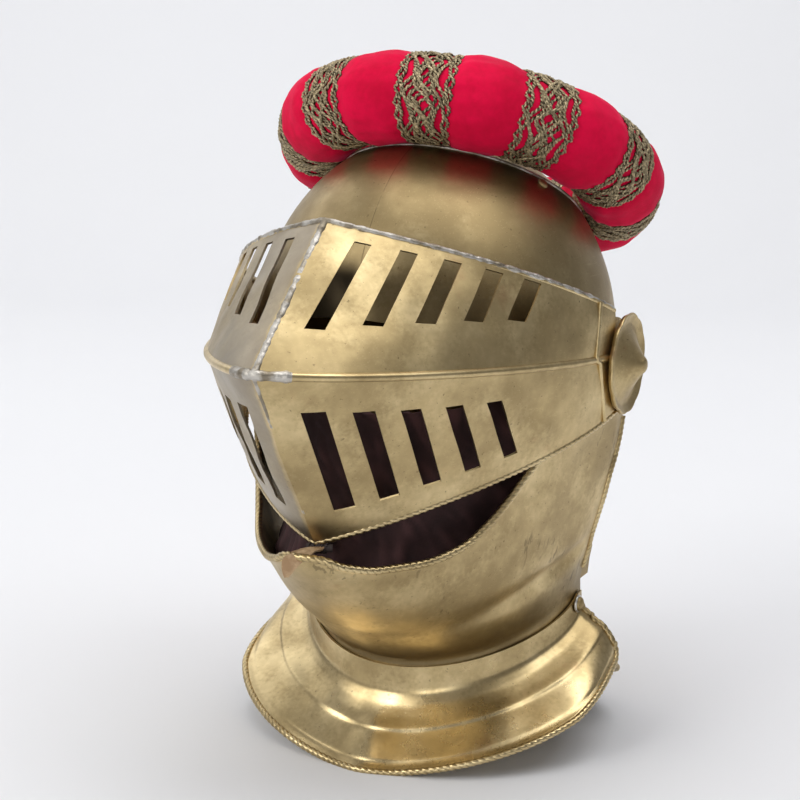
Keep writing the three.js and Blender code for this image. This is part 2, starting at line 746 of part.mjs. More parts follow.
const edgeMiddle = crownPoint(0, 0);
const backwards = crownPoint(1, 0).sub(edgeMiddle);
const WREATH_REACH = domeReach(edgeMiddle, V(1, 0, 0)) + WREATH_OVERHANG;
const WREATH_BACK_REACH = domeReach(edgeMiddle, backwards) + WREATH_BACK_OVERHANG;

function wreathPoint(around, section, radius) {
  const out = radius * Math.cos(section);
  const point = V(
    (WREATH_REACH + out) * Math.sin(around),
    -(WREATH_BACK_REACH + out) * Math.cos(around),
    radius * Math.sin(section),
  );
  point.applyAxisAngle(V(1, 0, 0), -CROWN_TILT * RAD);
  return point.add(crownPoint(WREATH_BACK, WREATH_LIFT));
}

const bandStep = (2 * Math.PI) / LACE_BANDS;
const bandHalf = LACE_WIDTH / 2 / WREATH_REACH;
const bandCentre = (band) => LACE_FIRST * RAD + band * bandStep;
const TUBE_SIDES = 10;

// Triangles round a tube whose rings of points follow one another.
function tubeFaces(from, to, flip) {
  const faces = [];
  for (let k = 0; k < TUBE_SIDES; k += 1) {
    const next = (k + 1) % TUBE_SIDES;
    const [a, b, c, d] = [from + k, from + next, to + next, to + k];
    if (flip) faces.push([a, c, b], [a, d, c]);
    else faces.push([a, b, c], [a, c, d]);
  }
  return faces;
}

function tubeRing(around, radius) {
  return Array.from({ length: TUBE_SIDES }, (_, k) => (
    wreathPoint(around, (2 * Math.PI * k) / TUBE_SIDES, radius)));
}

const WREATH_STATIONS = [
  // share of half a band from its middle, share of the sink
  { from: -1.6, sink: 0 },
  { from: -1, sink: 1 },
  { from: 0, sink: 1 },
  { from: 1, sink: 1 },
  { from: 1.6, sink: 0 },
];

function makeWreath() {
  const points = [];
  for (let band = 0; band < LACE_BANDS; band += 1) {
    for (const { from, sink } of WREATH_STATIONS) {
      points.push(...tubeRing(bandCentre(band) + from * bandHalf, WREATH_TUBE - sink * LACE_SINK));
    }
  }
  const faces = [];
  for (let start = 0; start < points.length; start += TUBE_SIDES) {
    faces.push(...tubeFaces(start, (start + TUBE_SIDES) % points.length, false));
  }
  return toSolid(fromTriangles(points, faces));
}

function makeLaceBand(band) {
  const inner = WREATH_TUBE - LACE_SINK + GAP;
  const points = [];
  for (const radius of [inner, inner + LACE_THICKNESS]) {
    for (const share of [-0.94, 0, 0.94]) {
      points.push(...tubeRing(bandCentre(band) + share * bandHalf, radius));
    }
  }
  const [inside, outside] = [0, 3 * TUBE_SIDES];
  const faces = [];
  for (const start of [0, TUBE_SIDES]) {
    faces.push(...tubeFaces(inside + start, inside + start + TUBE_SIDES, true));
    faces.push(...tubeFaces(outside + start, outside + start + TUBE_SIDES, false));
  }
  faces.push(...tubeFaces(inside, outside, false));
  faces.push(...tubeFaces(inside + 2 * TUBE_SIDES, outside + 2 * TUBE_SIDES, true));
  return toSolid(fromTriangles(points, faces));
}

// The cloth lining that stands inside the bevor and behind the lower slots

const LINING_ROWS = [
  // share of the height, share of the way in from the bevor's wall
  { height: 0, inward: 0 },
  { height: 0.18, inward: 0.05 },
  { height: 0.29, inward: 0.35 },
  { height: 0.38, inward: 0.8 },
  { height: 0.6, inward: 0.9 },
  { height: 1, inward: 1 },
];
const LINING_INWARD = 30;     // it stands this far off the chin at its top
const LINING_CHEEK = 0.3;     // share of that at the cheeks
const LINING_SPAN = 57;       // degrees each side of the chin

function makeLining() {
  const angles = rangeAngles(LINING_SPAN, 16);
  const grid = LINING_ROWS.map(({ height, inward }) => {
    const z = lerp(LINING_FOOT_Z, LINING_TOP_Z, height);
    const wall = bevorSectionAt(z, PLATE + LINING_STANDOFF);
    const away = LINING_INWARD * inward;
    const oval = {
      y: BEVOR_Y, width: wall.width - LINING_CHEEK * away, reach: wall.front - away, point: wall.point,
    };
    return angles.map((angle) => {
      const point = ovalPoint(oval, angle, -1);
      point.z = z - wall.sag * Math.cos(angle);
      return point;
    });
  });
  return toSolid(sheet(grid, LINING));
}

// Small fittings, each turned about its own axis and then set on a plate

function turned(rows, sides, seat) {
  const profile = rows.map(([x, y]) => new THREE.Vector2(x, y));
  const geometry = new THREE.LatheGeometry(profile, sides);
  const turn = new THREE.Quaternion().setFromUnitVectors(V(0, 1, 0), seat.outward);
  geometry.applyQuaternion(turn);
  geometry.translate(seat.point.x, seat.point.y, seat.point.z);
  return toSolid(geometry);
}

// A rivet, its head facing outwards and its shank through the plates behind.
function makeRivet(seat, radius, length) {
  const shank = SHANK_SHARE * radius;
  return turned([
    [0, -length], [shank, -length], [shank, 0], [radius, 0],
    [0.74 * radius, 0.44 * radius], [0, 0.6 * radius],
  ], RIVET_SIDES, seat);
}

function rivetHole(seat, radius) {
  const hole = SHANK_SHARE * radius + GAP;
  const rows = [[0, -HOLE_REACH], [hole, -HOLE_REACH], [hole, HOLE_REACH], [0, HOLE_REACH]];
  return turned(rows, RIVET_SIDES, seat);
}

// Rivets through the front neck plate's collar and the bevor, over washers

function neckSeat(side, lift = 0) {
  const z = NECK_Z - COLLAR_HEIGHT / 2;
  const rise = (BEVOR_Y - NECK_RIVET_Y) / NECK_FRONT;
  const x = NECK_WIDTH * Math.sqrt(1 - rise ** BEVOR_ROWS[0].point);
  const outward = V(side, 0, 0);
  return { point: V(side * (x + 2 * GAP + PLATE + lift), NECK_RIVET_Y, z), outward };
}

function makeNeckWasher(side) {
  const bore = SHANK_SHARE * RIVET_RADIUS + GAP;
  const [rim, top] = [WASHER_RADIUS, WASHER_HEIGHT];
  return turned([[bore, 0], [rim, 0], [rim, 0.7 * top], [bore, top], [bore, 0]], 14, neckSeat(side));
}

function makeNeckRivet(side) {
  const lift = WASHER_HEIGHT + GAP;
  return makeRivet(neckSeat(side, lift), RIVET_RADIUS, lift + 2 * PLATE + 4 * GAP);
}

// Rivets that hold the rear neck plate to the skull's tail

function napeSeat(angle) {
  const reach = GAP + PLATE + GAP;
  const outward = V(Math.sin(angle), Math.cos(angle), 0);
  const [x, y] = [(NAPE_WIDTH + reach) * outward.x, SKULL_Y + (NAPE_DEPTH + reach) * outward.y];
  return { point: V(x, y, NECK_Z - COLLAR_HEIGHT / 2), outward };
}

// Rivets that hold the crown cap inside the bowl's upper edge

function crownSeat(angle) {
  const centre = crownPoint(0, -CROWN_LAP / 2);
  const direction = V(Math.sin(angle), -Math.cos(angle), 0);
  direction.applyAxisAngle(V(1, 0, 0), -CROWN_TILT * RAD);
  const point = centre.clone().addScaledVector(direction, domeReach(centre, direction));
  const outward = point.clone().sub(DOME_CENTRE).divide(DOME_RADII).divide(DOME_RADII).normalize();
  return { point: point.addScaledVector(outward, GAP), outward };
}

// Strips riveted inside the bevor's rear edges that catch behind the neck

function stripCorner(side, row, behind, depth) {
  const [z, wall] = [NECK_Z + row.up, bevorSectionAt(NECK_Z + row.up, 0)];
  const x = wall.width - PLATE - GAP - STRIP_EASE - depth;
  return V(side * x, BEVOR_Y + behind, z);
}

function makeStrip(side) {
  const points = [];
  for (const depth of [0, PLATE]) {
    for (const row of STRIP_ROWS) {
      points.push(stripCorner(side, row, row.from, depth), stripCorner(side, row, row.to, depth));
    }
  }
  const [rows, shift] = [STRIP_ROWS.length, 2 * STRIP_ROWS.length];
  const faces = [];
  const quad = (a, b, c, d) => faces.push([a, b, c], [a, c, d]);
  for (let k = 0; k < rows - 1; k += 1) {
    const [a, b, c, d] = [2 * k, 2 * k + 1, 2 * k + 3, 2 * k + 2];
    quad(a, b, c, d);
    quad(d + shift, c + shift, b + shift, a + shift);
    quad(b, b + shift, c + shift, c);
    quad(a + shift, a, d, d + shift);
  }
  const last = shift - 2;
  quad(1, 0, shift, 1 + shift);
  quad(last, last + 1, last + 1 + shift, last + shift);
  return toSolid(fromTriangles(points, faces));
}

// The leather tab at the foot of the keel, folded over the visor's edge

function makeTab() {
  const outline = [[4, 3], [5, -3], [-2, -10], [-13, -19], [-10, -8], [-6, 1]];
  const shape = new THREE.Shape(outline.map(([x, y]) => new THREE.Vector2(x, y)));
  const geometry = new THREE.ExtrudeGeometry(shape, { depth: TAB_THICKNESS, bevelEnabled: false });
  geometry.translate(0, KEEL_FOOT_Y, KEEL_FOOT_Z - EDGE_ROLL - GAP - TAB_THICKNESS);
  return toSolid(geometry);
}

// The helmet

const helmet = new THREE.Group();

function put(name, solid, material) {
  const mesh = new THREE.Mesh(toGeometry(solid), material);
  mesh.name = name;
  helmet.add(mesh);
  return mesh;
}

const SIDES = [['left', 1], ['right', -1]];
const drilled = (solid, seats, radius) => seats.reduce(
  (rest, seat) => rest.subtract(rivetHole(seat, radius)), solid,
);
const neckSeats = SIDES.map(([, side]) => neckSeat(side));
const napeSeats = SIDES.map(([, side]) => napeSeat(side * NAPE_RIVET_ANGLE * RAD));
const crownSeats = CROWN_RIVET_ANGLES.map((angle) => crownSeat(angle * RAD));

const bowl = drilled(makeSkullBowl(), crownSeats, CROWN_RIVET_RADIUS);
put('skull_bowl', drilled(bowl, napeSeats, RIVET_RADIUS), BRASS);
put('skull_crown', drilled(makeSkullCrown(), crownSeats, CROWN_RIVET_RADIUS), BRASS);
put('visor', makeVisor(), BRASS);
put('bevor', drilled(makeBevor(), neckSeats, RIVET_RADIUS), BRASS);
put('gorget_front', drilled(makeGorgetFront(), neckSeats, RIVET_RADIUS), BRASS);
put('gorget_rear', drilled(makeGorgetRear(), napeSeats, RIVET_RADIUS), BRASS);
SIDES.forEach(([name, side], k) => {
  put(`rosette_${name}`, makeRosette(side), BRASS);
  put(`pivot_nut_${name}`, makePivotNut(side), BRASS);
  put(`neck_washer_${name}`, makeNeckWasher(side), BRASS);
  put(`neck_rivet_${name}`, makeNeckRivet(side), BRASS);
  put(`catch_strip_${name}`, makeStrip(side), BRASS);
  put(`nape_rivet_${name}`, makeRivet(napeSeats[k], RIVET_RADIUS, 3 * PLATE + 2 * GAP), BRASS);
});
crownSeats.forEach((seat, k) => {
  put(`crown_rivet_${k + 1}`, makeRivet(seat, CROWN_RIVET_RADIUS, 3 * PLATE + 2 * GAP), BRASS);
});
put('wreath', makeWreath(), CRIMSON);
for (let band = 0; band < LACE_BANDS; band += 1) {
  put(`lace_${band + 1}`, makeLaceBand(band), LACE);
}
put('lining', makeLining(), BURGUNDY);
put('beak_tab', makeTab(), LEATHER);

// The frame's origin lies on the floor under the middle of the helmet's box.
const extent = new THREE.Box3().setFromObject(helmet);
helmet.position.set(0, -(extent.min.y + extent.max.y) / 2, -extent.min.z);

export default helmet;
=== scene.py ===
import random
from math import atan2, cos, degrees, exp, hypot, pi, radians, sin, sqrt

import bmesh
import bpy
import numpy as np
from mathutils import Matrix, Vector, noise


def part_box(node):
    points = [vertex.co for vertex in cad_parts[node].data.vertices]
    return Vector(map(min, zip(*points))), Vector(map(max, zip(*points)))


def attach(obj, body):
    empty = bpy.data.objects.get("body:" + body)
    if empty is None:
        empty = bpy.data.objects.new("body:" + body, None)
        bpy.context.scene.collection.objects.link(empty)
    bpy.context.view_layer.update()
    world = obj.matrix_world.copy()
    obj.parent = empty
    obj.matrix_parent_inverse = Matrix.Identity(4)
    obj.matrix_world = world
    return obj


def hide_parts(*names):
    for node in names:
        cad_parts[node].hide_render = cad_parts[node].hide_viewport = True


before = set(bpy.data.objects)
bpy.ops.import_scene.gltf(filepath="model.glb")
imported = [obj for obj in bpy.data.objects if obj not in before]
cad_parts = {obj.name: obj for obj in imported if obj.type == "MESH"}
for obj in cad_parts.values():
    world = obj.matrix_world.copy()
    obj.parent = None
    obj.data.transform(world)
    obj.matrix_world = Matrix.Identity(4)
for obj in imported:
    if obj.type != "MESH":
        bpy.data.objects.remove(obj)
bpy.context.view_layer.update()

# %% [markdown]
# # A brass armet with a crimson wreath
#
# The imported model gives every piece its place. Its plates are faceted, so this
# lesson makes a smooth plate for each of them, with the same edges and sections,
# and then adds roped edges, solder, lace, padding, folds and worn brass.
#
# The plates follow measured sections, which a primitive shaped by hand would miss.
# So each is a grid of computed points, finished with modifiers as any other mesh.
# Lengths in the tables are millimetres.

MM = 0.001
PIVOT_Y, PIVOT_Z = 12, 212
low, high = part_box("rosette_left")
SHIFT_Y = (low.y + high.y) / 2 - PIVOT_Y * MM
print("the tables' zero lies", round(SHIFT_Y / MM, 2), "mm behind the frame's")

# %% [markdown]
# ## Sizes
# These are the sizes that the model was built to. A plate that keeps to them lies
# on its solid, and one that changes here has to change there too.

# %% Sizes
PLATE, GAP = 1.2, 0.3
SKULL_WIDTH, SKULL_DEPTH, SKULL_HEIGHT, SKULL_Y, TEMPLE_Z = 96, 106, 110, 9.5, 219
NAPE_WIDTH, NAPE_DEPTH = 68, 70
CROWN_TILT = radians(27.5)
CROWN_EDGE = Vector((0, SKULL_Y + 0.288 * SKULL_DEPTH, TEMPLE_Z + 0.664 * SKULL_HEIGHT))
CROWN_LAP = 9
FACE_WIDTH, BROW_Z, CHEEK_Y = 60, 243, -6
VISOR_WIDTH, VISOR_REAR_Y = 105, -3
BEVOR_WIDTH, BEVOR_Y, BEVOR_FRONT, BEVOR_REAR = 101.5, 25, 172, 78
CHIN_Z, NECK_Z, NECK_SAG, NECK_WIDTH, NECK_FRONT = 134, 78, 30, 79, 74
COLLAR_HEIGHT = 11
GORGET_WIDTH, GORGET_FRONT, GORGET_BLUNT = 111, 106.4, 2.45
NAPE_PLATE_WIDTH, NAPE_PLATE_REAR = 104, 72
GORGET_RISE, GORGET_FOOT, GORGET_SHOULDER, GORGET_SPLIT_Y = 47, 8, 100, 33
RIM_DRAW, DRAW_FROM, FOOT_CUT, EDGE_ROLL = 0.07, 65, 0.6, 1.5
WREATH_TUBE, WREATH_LIFT, WREATH_BACK, WREATH_OVERHANG = 23.5, 20.8, 2, 18.2
LACE_BANDS, LACE_FIRST, LACE_WIDTH, LACE_SINK = 10, 8, 25, 1.6
ROPE_STEP, ROPE_SIDES, ROUND, FAR = 0.7, 12, 60, 300

# %% [markdown]
# ## Helpers for meshes
# A plate is a grid of points that gets its thickness from a modifier. An edge is
# a bar swept along a path. Cutting by booleans and bisects keeps edges crisp.

# %% Helpers for meshes


def chosen(obj):
    """Selects obj alone and makes it active."""
    for other in bpy.context.selected_objects:
        other.select_set(False)
    obj.select_set(True)
    bpy.context.view_layer.objects.active = obj
    return obj


def to_frame(points):
    """Table millimetres to the frame's metres."""
    return [(p[0] * MM, p[1] * MM + SHIFT_Y, p[2] * MM) for p in points]


def mesh_piece(name, points, faces):
    mesh = bpy.data.meshes.new(name)
    mesh.from_pydata(to_frame(points), [], faces)
    obj = bpy.data.objects.new(name, mesh)
    bpy.context.collection.objects.link(obj)
    return chosen(obj)


def grid_faces(rows, columns, ring=False, start=0, closed=False):
    """Faces between rows of points, joined end to end by ring, last to first by closed."""
    return [
        tuple(
            start + (i + down) % rows * columns + (j + along) % columns
            for down, along in ((0, 0), (0, 1), (1, 1), (1, 0))
        )
        for i in range(rows if closed else rows - 1)
        for j in range(columns if ring else columns - 1)
    ]


def grid_piece(name, grid, ring=False):
    points = [p for row in grid for p in row]
    return mesh_piece(name, points, grid_faces(len(grid), len(grid[0]), ring))


def use(obj, kind, **settings):
    """Adds a modifier with these settings and applies it."""
    chosen(obj)
    modifier = obj.modifiers.new(kind, kind)
    for key, value in settings.items():
        setattr(modifier, key, value)
    bpy.ops.object.modifier_apply(modifier=modifier.name)
    return obj


def outward(obj):
    """Turns every face of a closed mesh outwards."""
    chosen(obj)
    bpy.ops.object.mode_set(mode="EDIT")
    bpy.ops.mesh.select_all(action="SELECT")
    bpy.ops.mesh.remove_doubles(threshold=1e-6)
    bpy.ops.mesh.normals_make_consistent(inside=False)
    bpy.ops.object.mode_set(mode="OBJECT")
    return obj


def smooth(obj, angle=35):
    chosen(obj)
    bpy.ops.object.shade_smooth_by_angle(angle=radians(angle))
    return obj


def walled(obj, wall=PLATE, offset=-1):
    """Gives a sheet its thickness, all of it inwards at offset -1."""
    return use(obj, "SOLIDIFY", thickness=wall * MM, offset=offset)


def cut(obj, cutter, operation="DIFFERENCE"):
    use(obj, "BOOLEAN", object=cutter, operation=operation, solver="EXACT")
    bpy.data.objects.remove(cutter)
    return obj


def bisect(obj, point, normal):
    """Cuts off what lies on the normal's side and closes the cut."""
    chosen(obj)
    bpy.ops.object.mode_set(mode="EDIT")
    bpy.ops.mesh.select_all(action="SELECT")
    bpy.ops.mesh.bisect(
        plane_co=to_frame([point])[0], plane_no=normal, use_fill=True, clear_outer=True
    )
    bpy.ops.object.mode_set(mode="OBJECT")
    return obj


def prism(name, outline, axis, reach):
    """A prism along X through (y, z) points, or along Y through (x, z) points."""
    points = []
    for end in (-reach, reach):
        for a, b in outline:
            points.append((end, a, b) if axis == "X" else (a, end, b))
    n = len(outline)
    faces = [tuple(range(n)), tuple(range(2 * n - 1, n - 1, -1))]
    faces += [(k, (k + 1) % n, (k + 1) % n + n, k + n) for k in range(n)]
    return outward(mesh_piece(name, points, faces))


def with_height(obj, heights):
    """Stores how high each point stands, 0 to 1, for the materials."""
    obj.data.attributes.new("height", "FLOAT", "POINT").data.foreach_set("value", heights)
    return obj


def sweep(name, path, radius, sides=10, twist=0, ridge=0, closed=False):
    """A round bar along path. Three ridges wind round it once in twist mm."""
    path = [Vector(p) for p in path]
    count = len(path)
    points, heights, length, up = [], [], 0, None
    for i, p in enumerate(path):
        after = path[(i + 1) % count] if closed else path[min(i + 1, count - 1)]
        before = path[i - 1] if closed or i else path[0]
        along = (after - before).normalized()
        up = (up or along.orthogonal()).copy()
        up = (up - along * up.dot(along)).normalized()
        side = along.cross(up)
        length += (p - path[i - 1]).length if i else 0
        turn = 2 * pi * length / twist if twist else 0
        for k in range(sides):
            angle = 2 * pi * k / sides
            r = radius(i / (count - 1)) if callable(radius) else radius
            groove = abs(sin(1.5 * (angle - turn))) ** 0.6
            heights.append(groove if ridge else 1)
            r *= 1 - ridge * (1 - groove)
            points.append(p + (up * cos(angle) + side * sin(angle)) * r)
    faces = grid_faces(count, sides, ring=True, closed=closed)
    if not closed:
        faces += [tuple(range(sides))[::-1], tuple(range((count - 1) * sides, count * sides))]
    return outward(with_height(mesh_piece(name, points, faces), heights))


def resample(points, step):
    """Points at an even step along a path."""
    path = np.array([tuple(p) for p in points], float)
    run = np.r_[0, np.cumsum(np.linalg.norm(np.diff(path, axis=0), axis=1))]
    count = max(2, round(run[-1] / step))
    at = np.linspace(0, run[-1], count + 1)
    return [tuple(np.interp(a, run, path[:, k]) for k in range(3)) for a in at]


def rope(name, path, radius=2.1, twist=11, ridge=0.3):
    """A roped edge along a path, which is taken in even steps."""
    return sweep(name, resample(path, ROPE_STEP), radius, ROPE_SIDES, twist, ridge)


def curve_through(xs, ys, x):
    """A smooth curve through a table's points that doesn't overshoot them."""
    xs, ys = np.array(xs, float), np.array(ys, float)
    rise = np.diff(ys) / np.diff(xs)
    slope = np.r_[rise[0], np.zeros(len(xs) - 2), rise[-1]]
    for k in range(1, len(xs) - 1):
        if rise[k - 1] * rise[k] > 0:
            slope[k] = 2 * rise[k - 1] * rise[k] / (rise[k - 1] + rise[k])
    k = int(np.clip(np.searchsorted(xs, x) - 1, 0, len(xs) - 2))
    h = xs[k + 1] - xs[k]
    t = min(max((x - xs[k]) / h, 0), 1)
    a = (1 + 2 * t) * (1 - t) ** 2 * ys[k] + t * (1 - t) ** 2 * h * slope[k]
    return float(a + t * t * (3 - 2 * t) * ys[k + 1] + t * t * (t - 1) * h * slope[k + 1])


def dented(point, size, depth, seed):
    """How far hand work moves a plate's face at a point."""
    return depth * noise.noise(Vector(point) / size + Vector((seed, 0, 0)))


def join(name, objs):
    chosen(objs[0])
    for obj in objs[1:]:
        obj.select_set(True)
    bpy.ops.object.join()
    objs[0].name = objs[0].data.name = name
    return objs[0]


print("helpers are ready")

# %% [markdown]
# ## The skull
# The real bowl is raised from sheet, with a separate cap set into its tilted upper
# edge. A sphere could be sculpted to it, but one dome with a tail, made from its
# sections, serves both: as the bowl, and a plate's thickness inside it as the cap.
# The bowl is then cut along the tilted plane and over the face.

# %% The skull
TAIL = [(0, 0), (0.2, 0.06), (0.4, 0.24), (0.6, 0.54), (0.78, 0.84), (0.91, 1), (1, 1)]
FLOOR_Z = NECK_Z - COLLAR_HEIGHT
DOME_ROWS, TAIL_ROWS, SKULL_COLUMNS = 30, 34, 120


def dome(name, inset):
    rows = []
    for i in range(TAIL_ROWS):
        drop = 1 - i / TAIL_ROWS
        narrow = curve_through(*zip(*TAIL), drop)
        rows.append((
            TEMPLE_Z + (FLOOR_Z - TEMPLE_Z) * drop,
            SKULL_WIDTH + (NAPE_WIDTH - SKULL_WIDTH) * narrow - inset,
            SKULL_DEPTH + (NAPE_DEPTH - SKULL_DEPTH) * narrow - inset,
        ))
    for i in range(DOME_ROWS):
        a = pi / 2 * i / DOME_ROWS
        c, s = cos(a), sin(a)
        rows.append((
            TEMPLE_Z + (SKULL_HEIGHT - inset) * s,
            (SKULL_WIDTH - inset) * c,
            (SKULL_DEPTH - inset) * c,
        ))
    rows.append((TEMPLE_Z + SKULL_HEIGHT - inset, 0, 0))
    grid = []
    for z, width, depth in rows:
        row = []
        for j in range(SKULL_COLUMNS):
            a = 2 * pi * j / SKULL_COLUMNS
            p = Vector((width * sin(a), SKULL_Y - depth * cos(a), z))
            p += Vector((sin(a), -cos(a), 0)) * dented(p, 34, 0.7, 3)
            row.append(p)
        grid.append(row)
    obj = outward(grid_piece(name, grid, ring=True))
    return walled(obj)


crown_normal = Vector((0, sin(CROWN_TILT), cos(CROWN_TILT)))
skull_plate = bisect(dome("skull_plate", 0), CROWN_EDGE, crown_normal)
below = FLOOR_Z - 20
arch = [(-FACE_WIDTH, below), (FACE_WIDTH, below)]
arch += [
    (FACE_WIDTH * cos(a), TEMPLE_Z + (BROW_Z - TEMPLE_Z) * sin(a))
    for a in np.linspace(0, pi, 25)
]
face = prism("face_cutter", arch, "Y", 2 * SKULL_DEPTH)
face = bisect(face, (0, SKULL_Y, 0), (0, 1, 0))
skull_plate = cut(skull_plate, face)
brow = BROW_Z - TEMPLE_Z
JAW_REACH = 200
jaw = [
    (-JAW_REACH, below), (CHEEK_Y, below), (CHEEK_Y, TEMPLE_Z - brow),
    (CHEEK_Y - brow, TEMPLE_Z - brow / 4), (-JAW_REACH, TEMPLE_Z - brow / 4),
]
skull_plate = smooth(cut(skull_plate, prism("jaw_cutter", jaw, "X", JAW_REACH)))

# a ring of points where the tilted plane meets the dome
crown_lip = []
radii = (SKULL_WIDTH, SKULL_DEPTH, SKULL_HEIGHT)
for a in np.linspace(0, 2 * pi, 240, endpoint=False):
    ahead = -cos(a)
    along = Vector((sin(a), ahead * cos(CROWN_TILT), -ahead * sin(CROWN_TILT)))
    centre = CROWN_EDGE - Vector((0, SKULL_Y, TEMPLE_Z))
    start, run = ([v / r for v, r in zip(w, radii)] for w in (centre, along))
    pairs = ((run, run), (start, run), (start, start))
    qa, qb, qc = (sum(u * v for u, v in zip(*pair)) for pair in pairs)
    reach = (-qb + sqrt(qb * qb - qa * (qc - 1))) / qa
    crown_lip.append(CROWN_EDGE + along * (reach + 0.1))
crown_edge = smooth(sweep("crown_edge", crown_lip, 0.95, 8, closed=True), ROUND)
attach(crown_edge, "skull")

crown_cap = dome("crown_cap", PLATE + GAP)
below = CROWN_EDGE - crown_normal * CROWN_LAP
crown_cap = smooth(bisect(crown_cap, below, -crown_normal))
for piece, node in ((skull_plate, "skull_bowl"), (crown_cap, "skull_crown")):
    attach(piece, "skull")
    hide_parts(node)
for piece in (skull_plate, crown_cap):
    print(piece.name, "has", len(piece.data.polygons), "faces")

# %% [markdown]
# ## The visor
# The real visor is soldered from bent panels. Two on each side run between three
# curves, the upper edge, the ridge and the lower edge, and meet in a sharp keel.
# Ruled grids between those curves bend as sheet does. The slots are cut through
# with one boolean, because they are places on the panels and follow their bend.

# %% The visor's panels
# each curve: front y, front z, rear y, rear z, lift at its middle
CURVES = {
    "top": (-123, 294, VISOR_REAR_Y, 242, 4),
    "ridge": (-193, 232, VISOR_REAR_Y, 218, 0),
    "low": (-133, 138, 5, 188, 1),
}
VISOR_COLUMNS, PANEL_ROWS, BLUNT = 64, 14, 0.42


def edge_curve(kind, count):
    front_y, front_z, rear_y, rear_z, lift = CURVES[kind]
    run = rear_y - front_y
    corners = [
        (0, front_y), (BLUNT * VISOR_WIDTH, front_y + 0.1 * run),
        (0.955 * VISOR_WIDTH, rear_y - 0.4 * run), (VISOR_WIDTH, rear_y),
    ]
    plan = []
    for t in np.linspace(0, 1, 400):
        w = [(1 - t) ** 3, 3 * (1 - t) ** 2 * t, 3 * (1 - t) * t * t, t ** 3]
        plan.append([sum(a * c[k] for a, c in zip(w, corners)) for k in (0, 1)])
    run = np.r_[0, np.cumsum(np.linalg.norm(np.diff(np.array(plan), axis=0), axis=1))]
    run /= run[-1]
    out = []
    for s in np.linspace(0, 1, count + 1):
        x, y = (np.interp(s, run, [p[k] for p in plan]) for k in (0, 1))
        out.append(Vector((x, y, front_z + (rear_z - front_z) * s + lift * 4 * s * (1 - s))))
    return out


def both_sides(points):
    return [Vector((-p.x, p.y, p.z)) for p in points[:0:-1]] + list(points)


edges = {kind: both_sides(edge_curve(kind, VISOR_COLUMNS)) for kind in CURVES}
grid = []
for lower, upper, last in (("low", "ridge", False), ("ridge", "top", True)):
    for i in range(PANEL_ROWS + last):
        t = i / PANEL_ROWS
        row = []
        for a, b in zip(edges[lower], edges[upper]):
            p = a.lerp(b, t)
            bulge = sin(pi * t)
            away = Vector((p.x, p.y * 0.6, 0)).normalized()
            row.append(p + away * bulge * (1.0 + dented(p, 22, 1.6, 9)))
        grid.append(row)
visor_plate = walled(grid_piece("visor_plate", grid[::-1]))

# share of the panel's run where slots start, their pitch, lean, width, foot, head
SLOTS = 5
SLOT_ROWS = {
    "top": (0.061, 0.126, (0.036, 0.036), (0.047, 0.06), (0.3, 0.5), (0.91, 0.95)),
    "low": (0.07, 0.1115, (0.002, 0.026), (0.055, 0.044), (0.2, 0.26), (0.83, 0.81)),
}
FINE, CUT_REACH = 400, 9
fine = {kind: edge_curve(kind, FINE) for kind in CURVES}


def panel_point(kind, share, height, side):
    """A point on a panel: share of its run, height from the ridge to the other edge."""
    k = share * FINE
    i, t = int(k), k - int(k)
    near = fine["ridge"][i].lerp(fine["ridge"][i + 1], t)
    far = fine[kind][i].lerp(fine[kind][i + 1], t)
    p = near.lerp(far, height)
    return Vector((side * p.x, p.y, p.z))


points, faces = [], []
for kind, (first, pitch, lean, width, foot, head) in SLOT_ROWS.items():
    for side in (-1, 1):
        for k in range(SLOTS):
            pairs = (lean, width, foot, head)
            leans, wide, low, high = (a + (b - a) * k / (SLOTS - 1) for a, b in pairs)
            start = first + k * pitch
            end = start + wide
            places = ((start, low), (end, low), (end + leans, high), (start + leans, high))
            corners = [panel_point(kind, share, height, side) for share, height in places]
            normal = (corners[1] - corners[0]).cross(corners[3] - corners[0]).normalized()
            n = len(points)
            points += [c + normal * CUT_REACH * end for end in (1, -1) for c in corners]
            faces += [(n, n + 1, n + 2, n + 3), (n + 7, n + 6, n + 5, n + 4)]
            faces += [(n + j, n + 4 + j, n + 4 + (j + 1) % 4, n + (j + 1) % 4) for j in range(4)]
visor_plate = cut(visor_plate, outward(mesh_piece("slot_cutter", points, faces)))
for side in (-1, 1):
    ends = [(side * x, PIVOT_Y, PIVOT_Z) for x in (VISOR_WIDTH - PLATE, VISOR_WIDTH)]
    visor_plate = cut(visor_plate, sweep("ear", ends, 20, sides=48), "UNION")
visor_plate = smooth(visor_plate, 24)
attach(visor_plate, "visor")
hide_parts("visor")
print("the visor has", len(visor_plate.data.polygons), "faces")

# %% [markdown]
# The lower edge is rolled and roped and the ridge carries a plain bead. The upper
# edge, the keel and the ridge's front are rough with solder. A folded border ends
# each side just before the pivot. All are bars swept along the panels' own curves,
# so they can't leave the edge that they finish.

# %% The visor's edges
visor_rope = rope("visor_rope", edges["low"])
bead = [p + Vector((p.x, p.y * 0.6, 0)).normalized() * 0.6 for p in edges["ridge"]]
ridge_bead = sweep("ridge_bead", resample(bead, 2), 2.1, ROPE_SIDES)


def drift(p):
    """An offset that wanders with p. noise_vector differs from run to run, and noise doesn't."""
    return Vector([noise.noise(p + Vector((apart, 0, 0))) for apart in (9.3, 0, 6.3)])


def rough_seam(name, path, radius, lump):
    """A bead of solder whose thickness and line wander."""
    line = [Vector(p) for p in resample(path, 1)]
    line = [p + 0.5 * drift(p * 0.21) * lump for p in line]
    length = len(line)
    thick = lambda s: radius * (1 + lump * noise.noise(Vector((s * length * 0.33, radius, 0))))
    return sweep(name, line, thick)


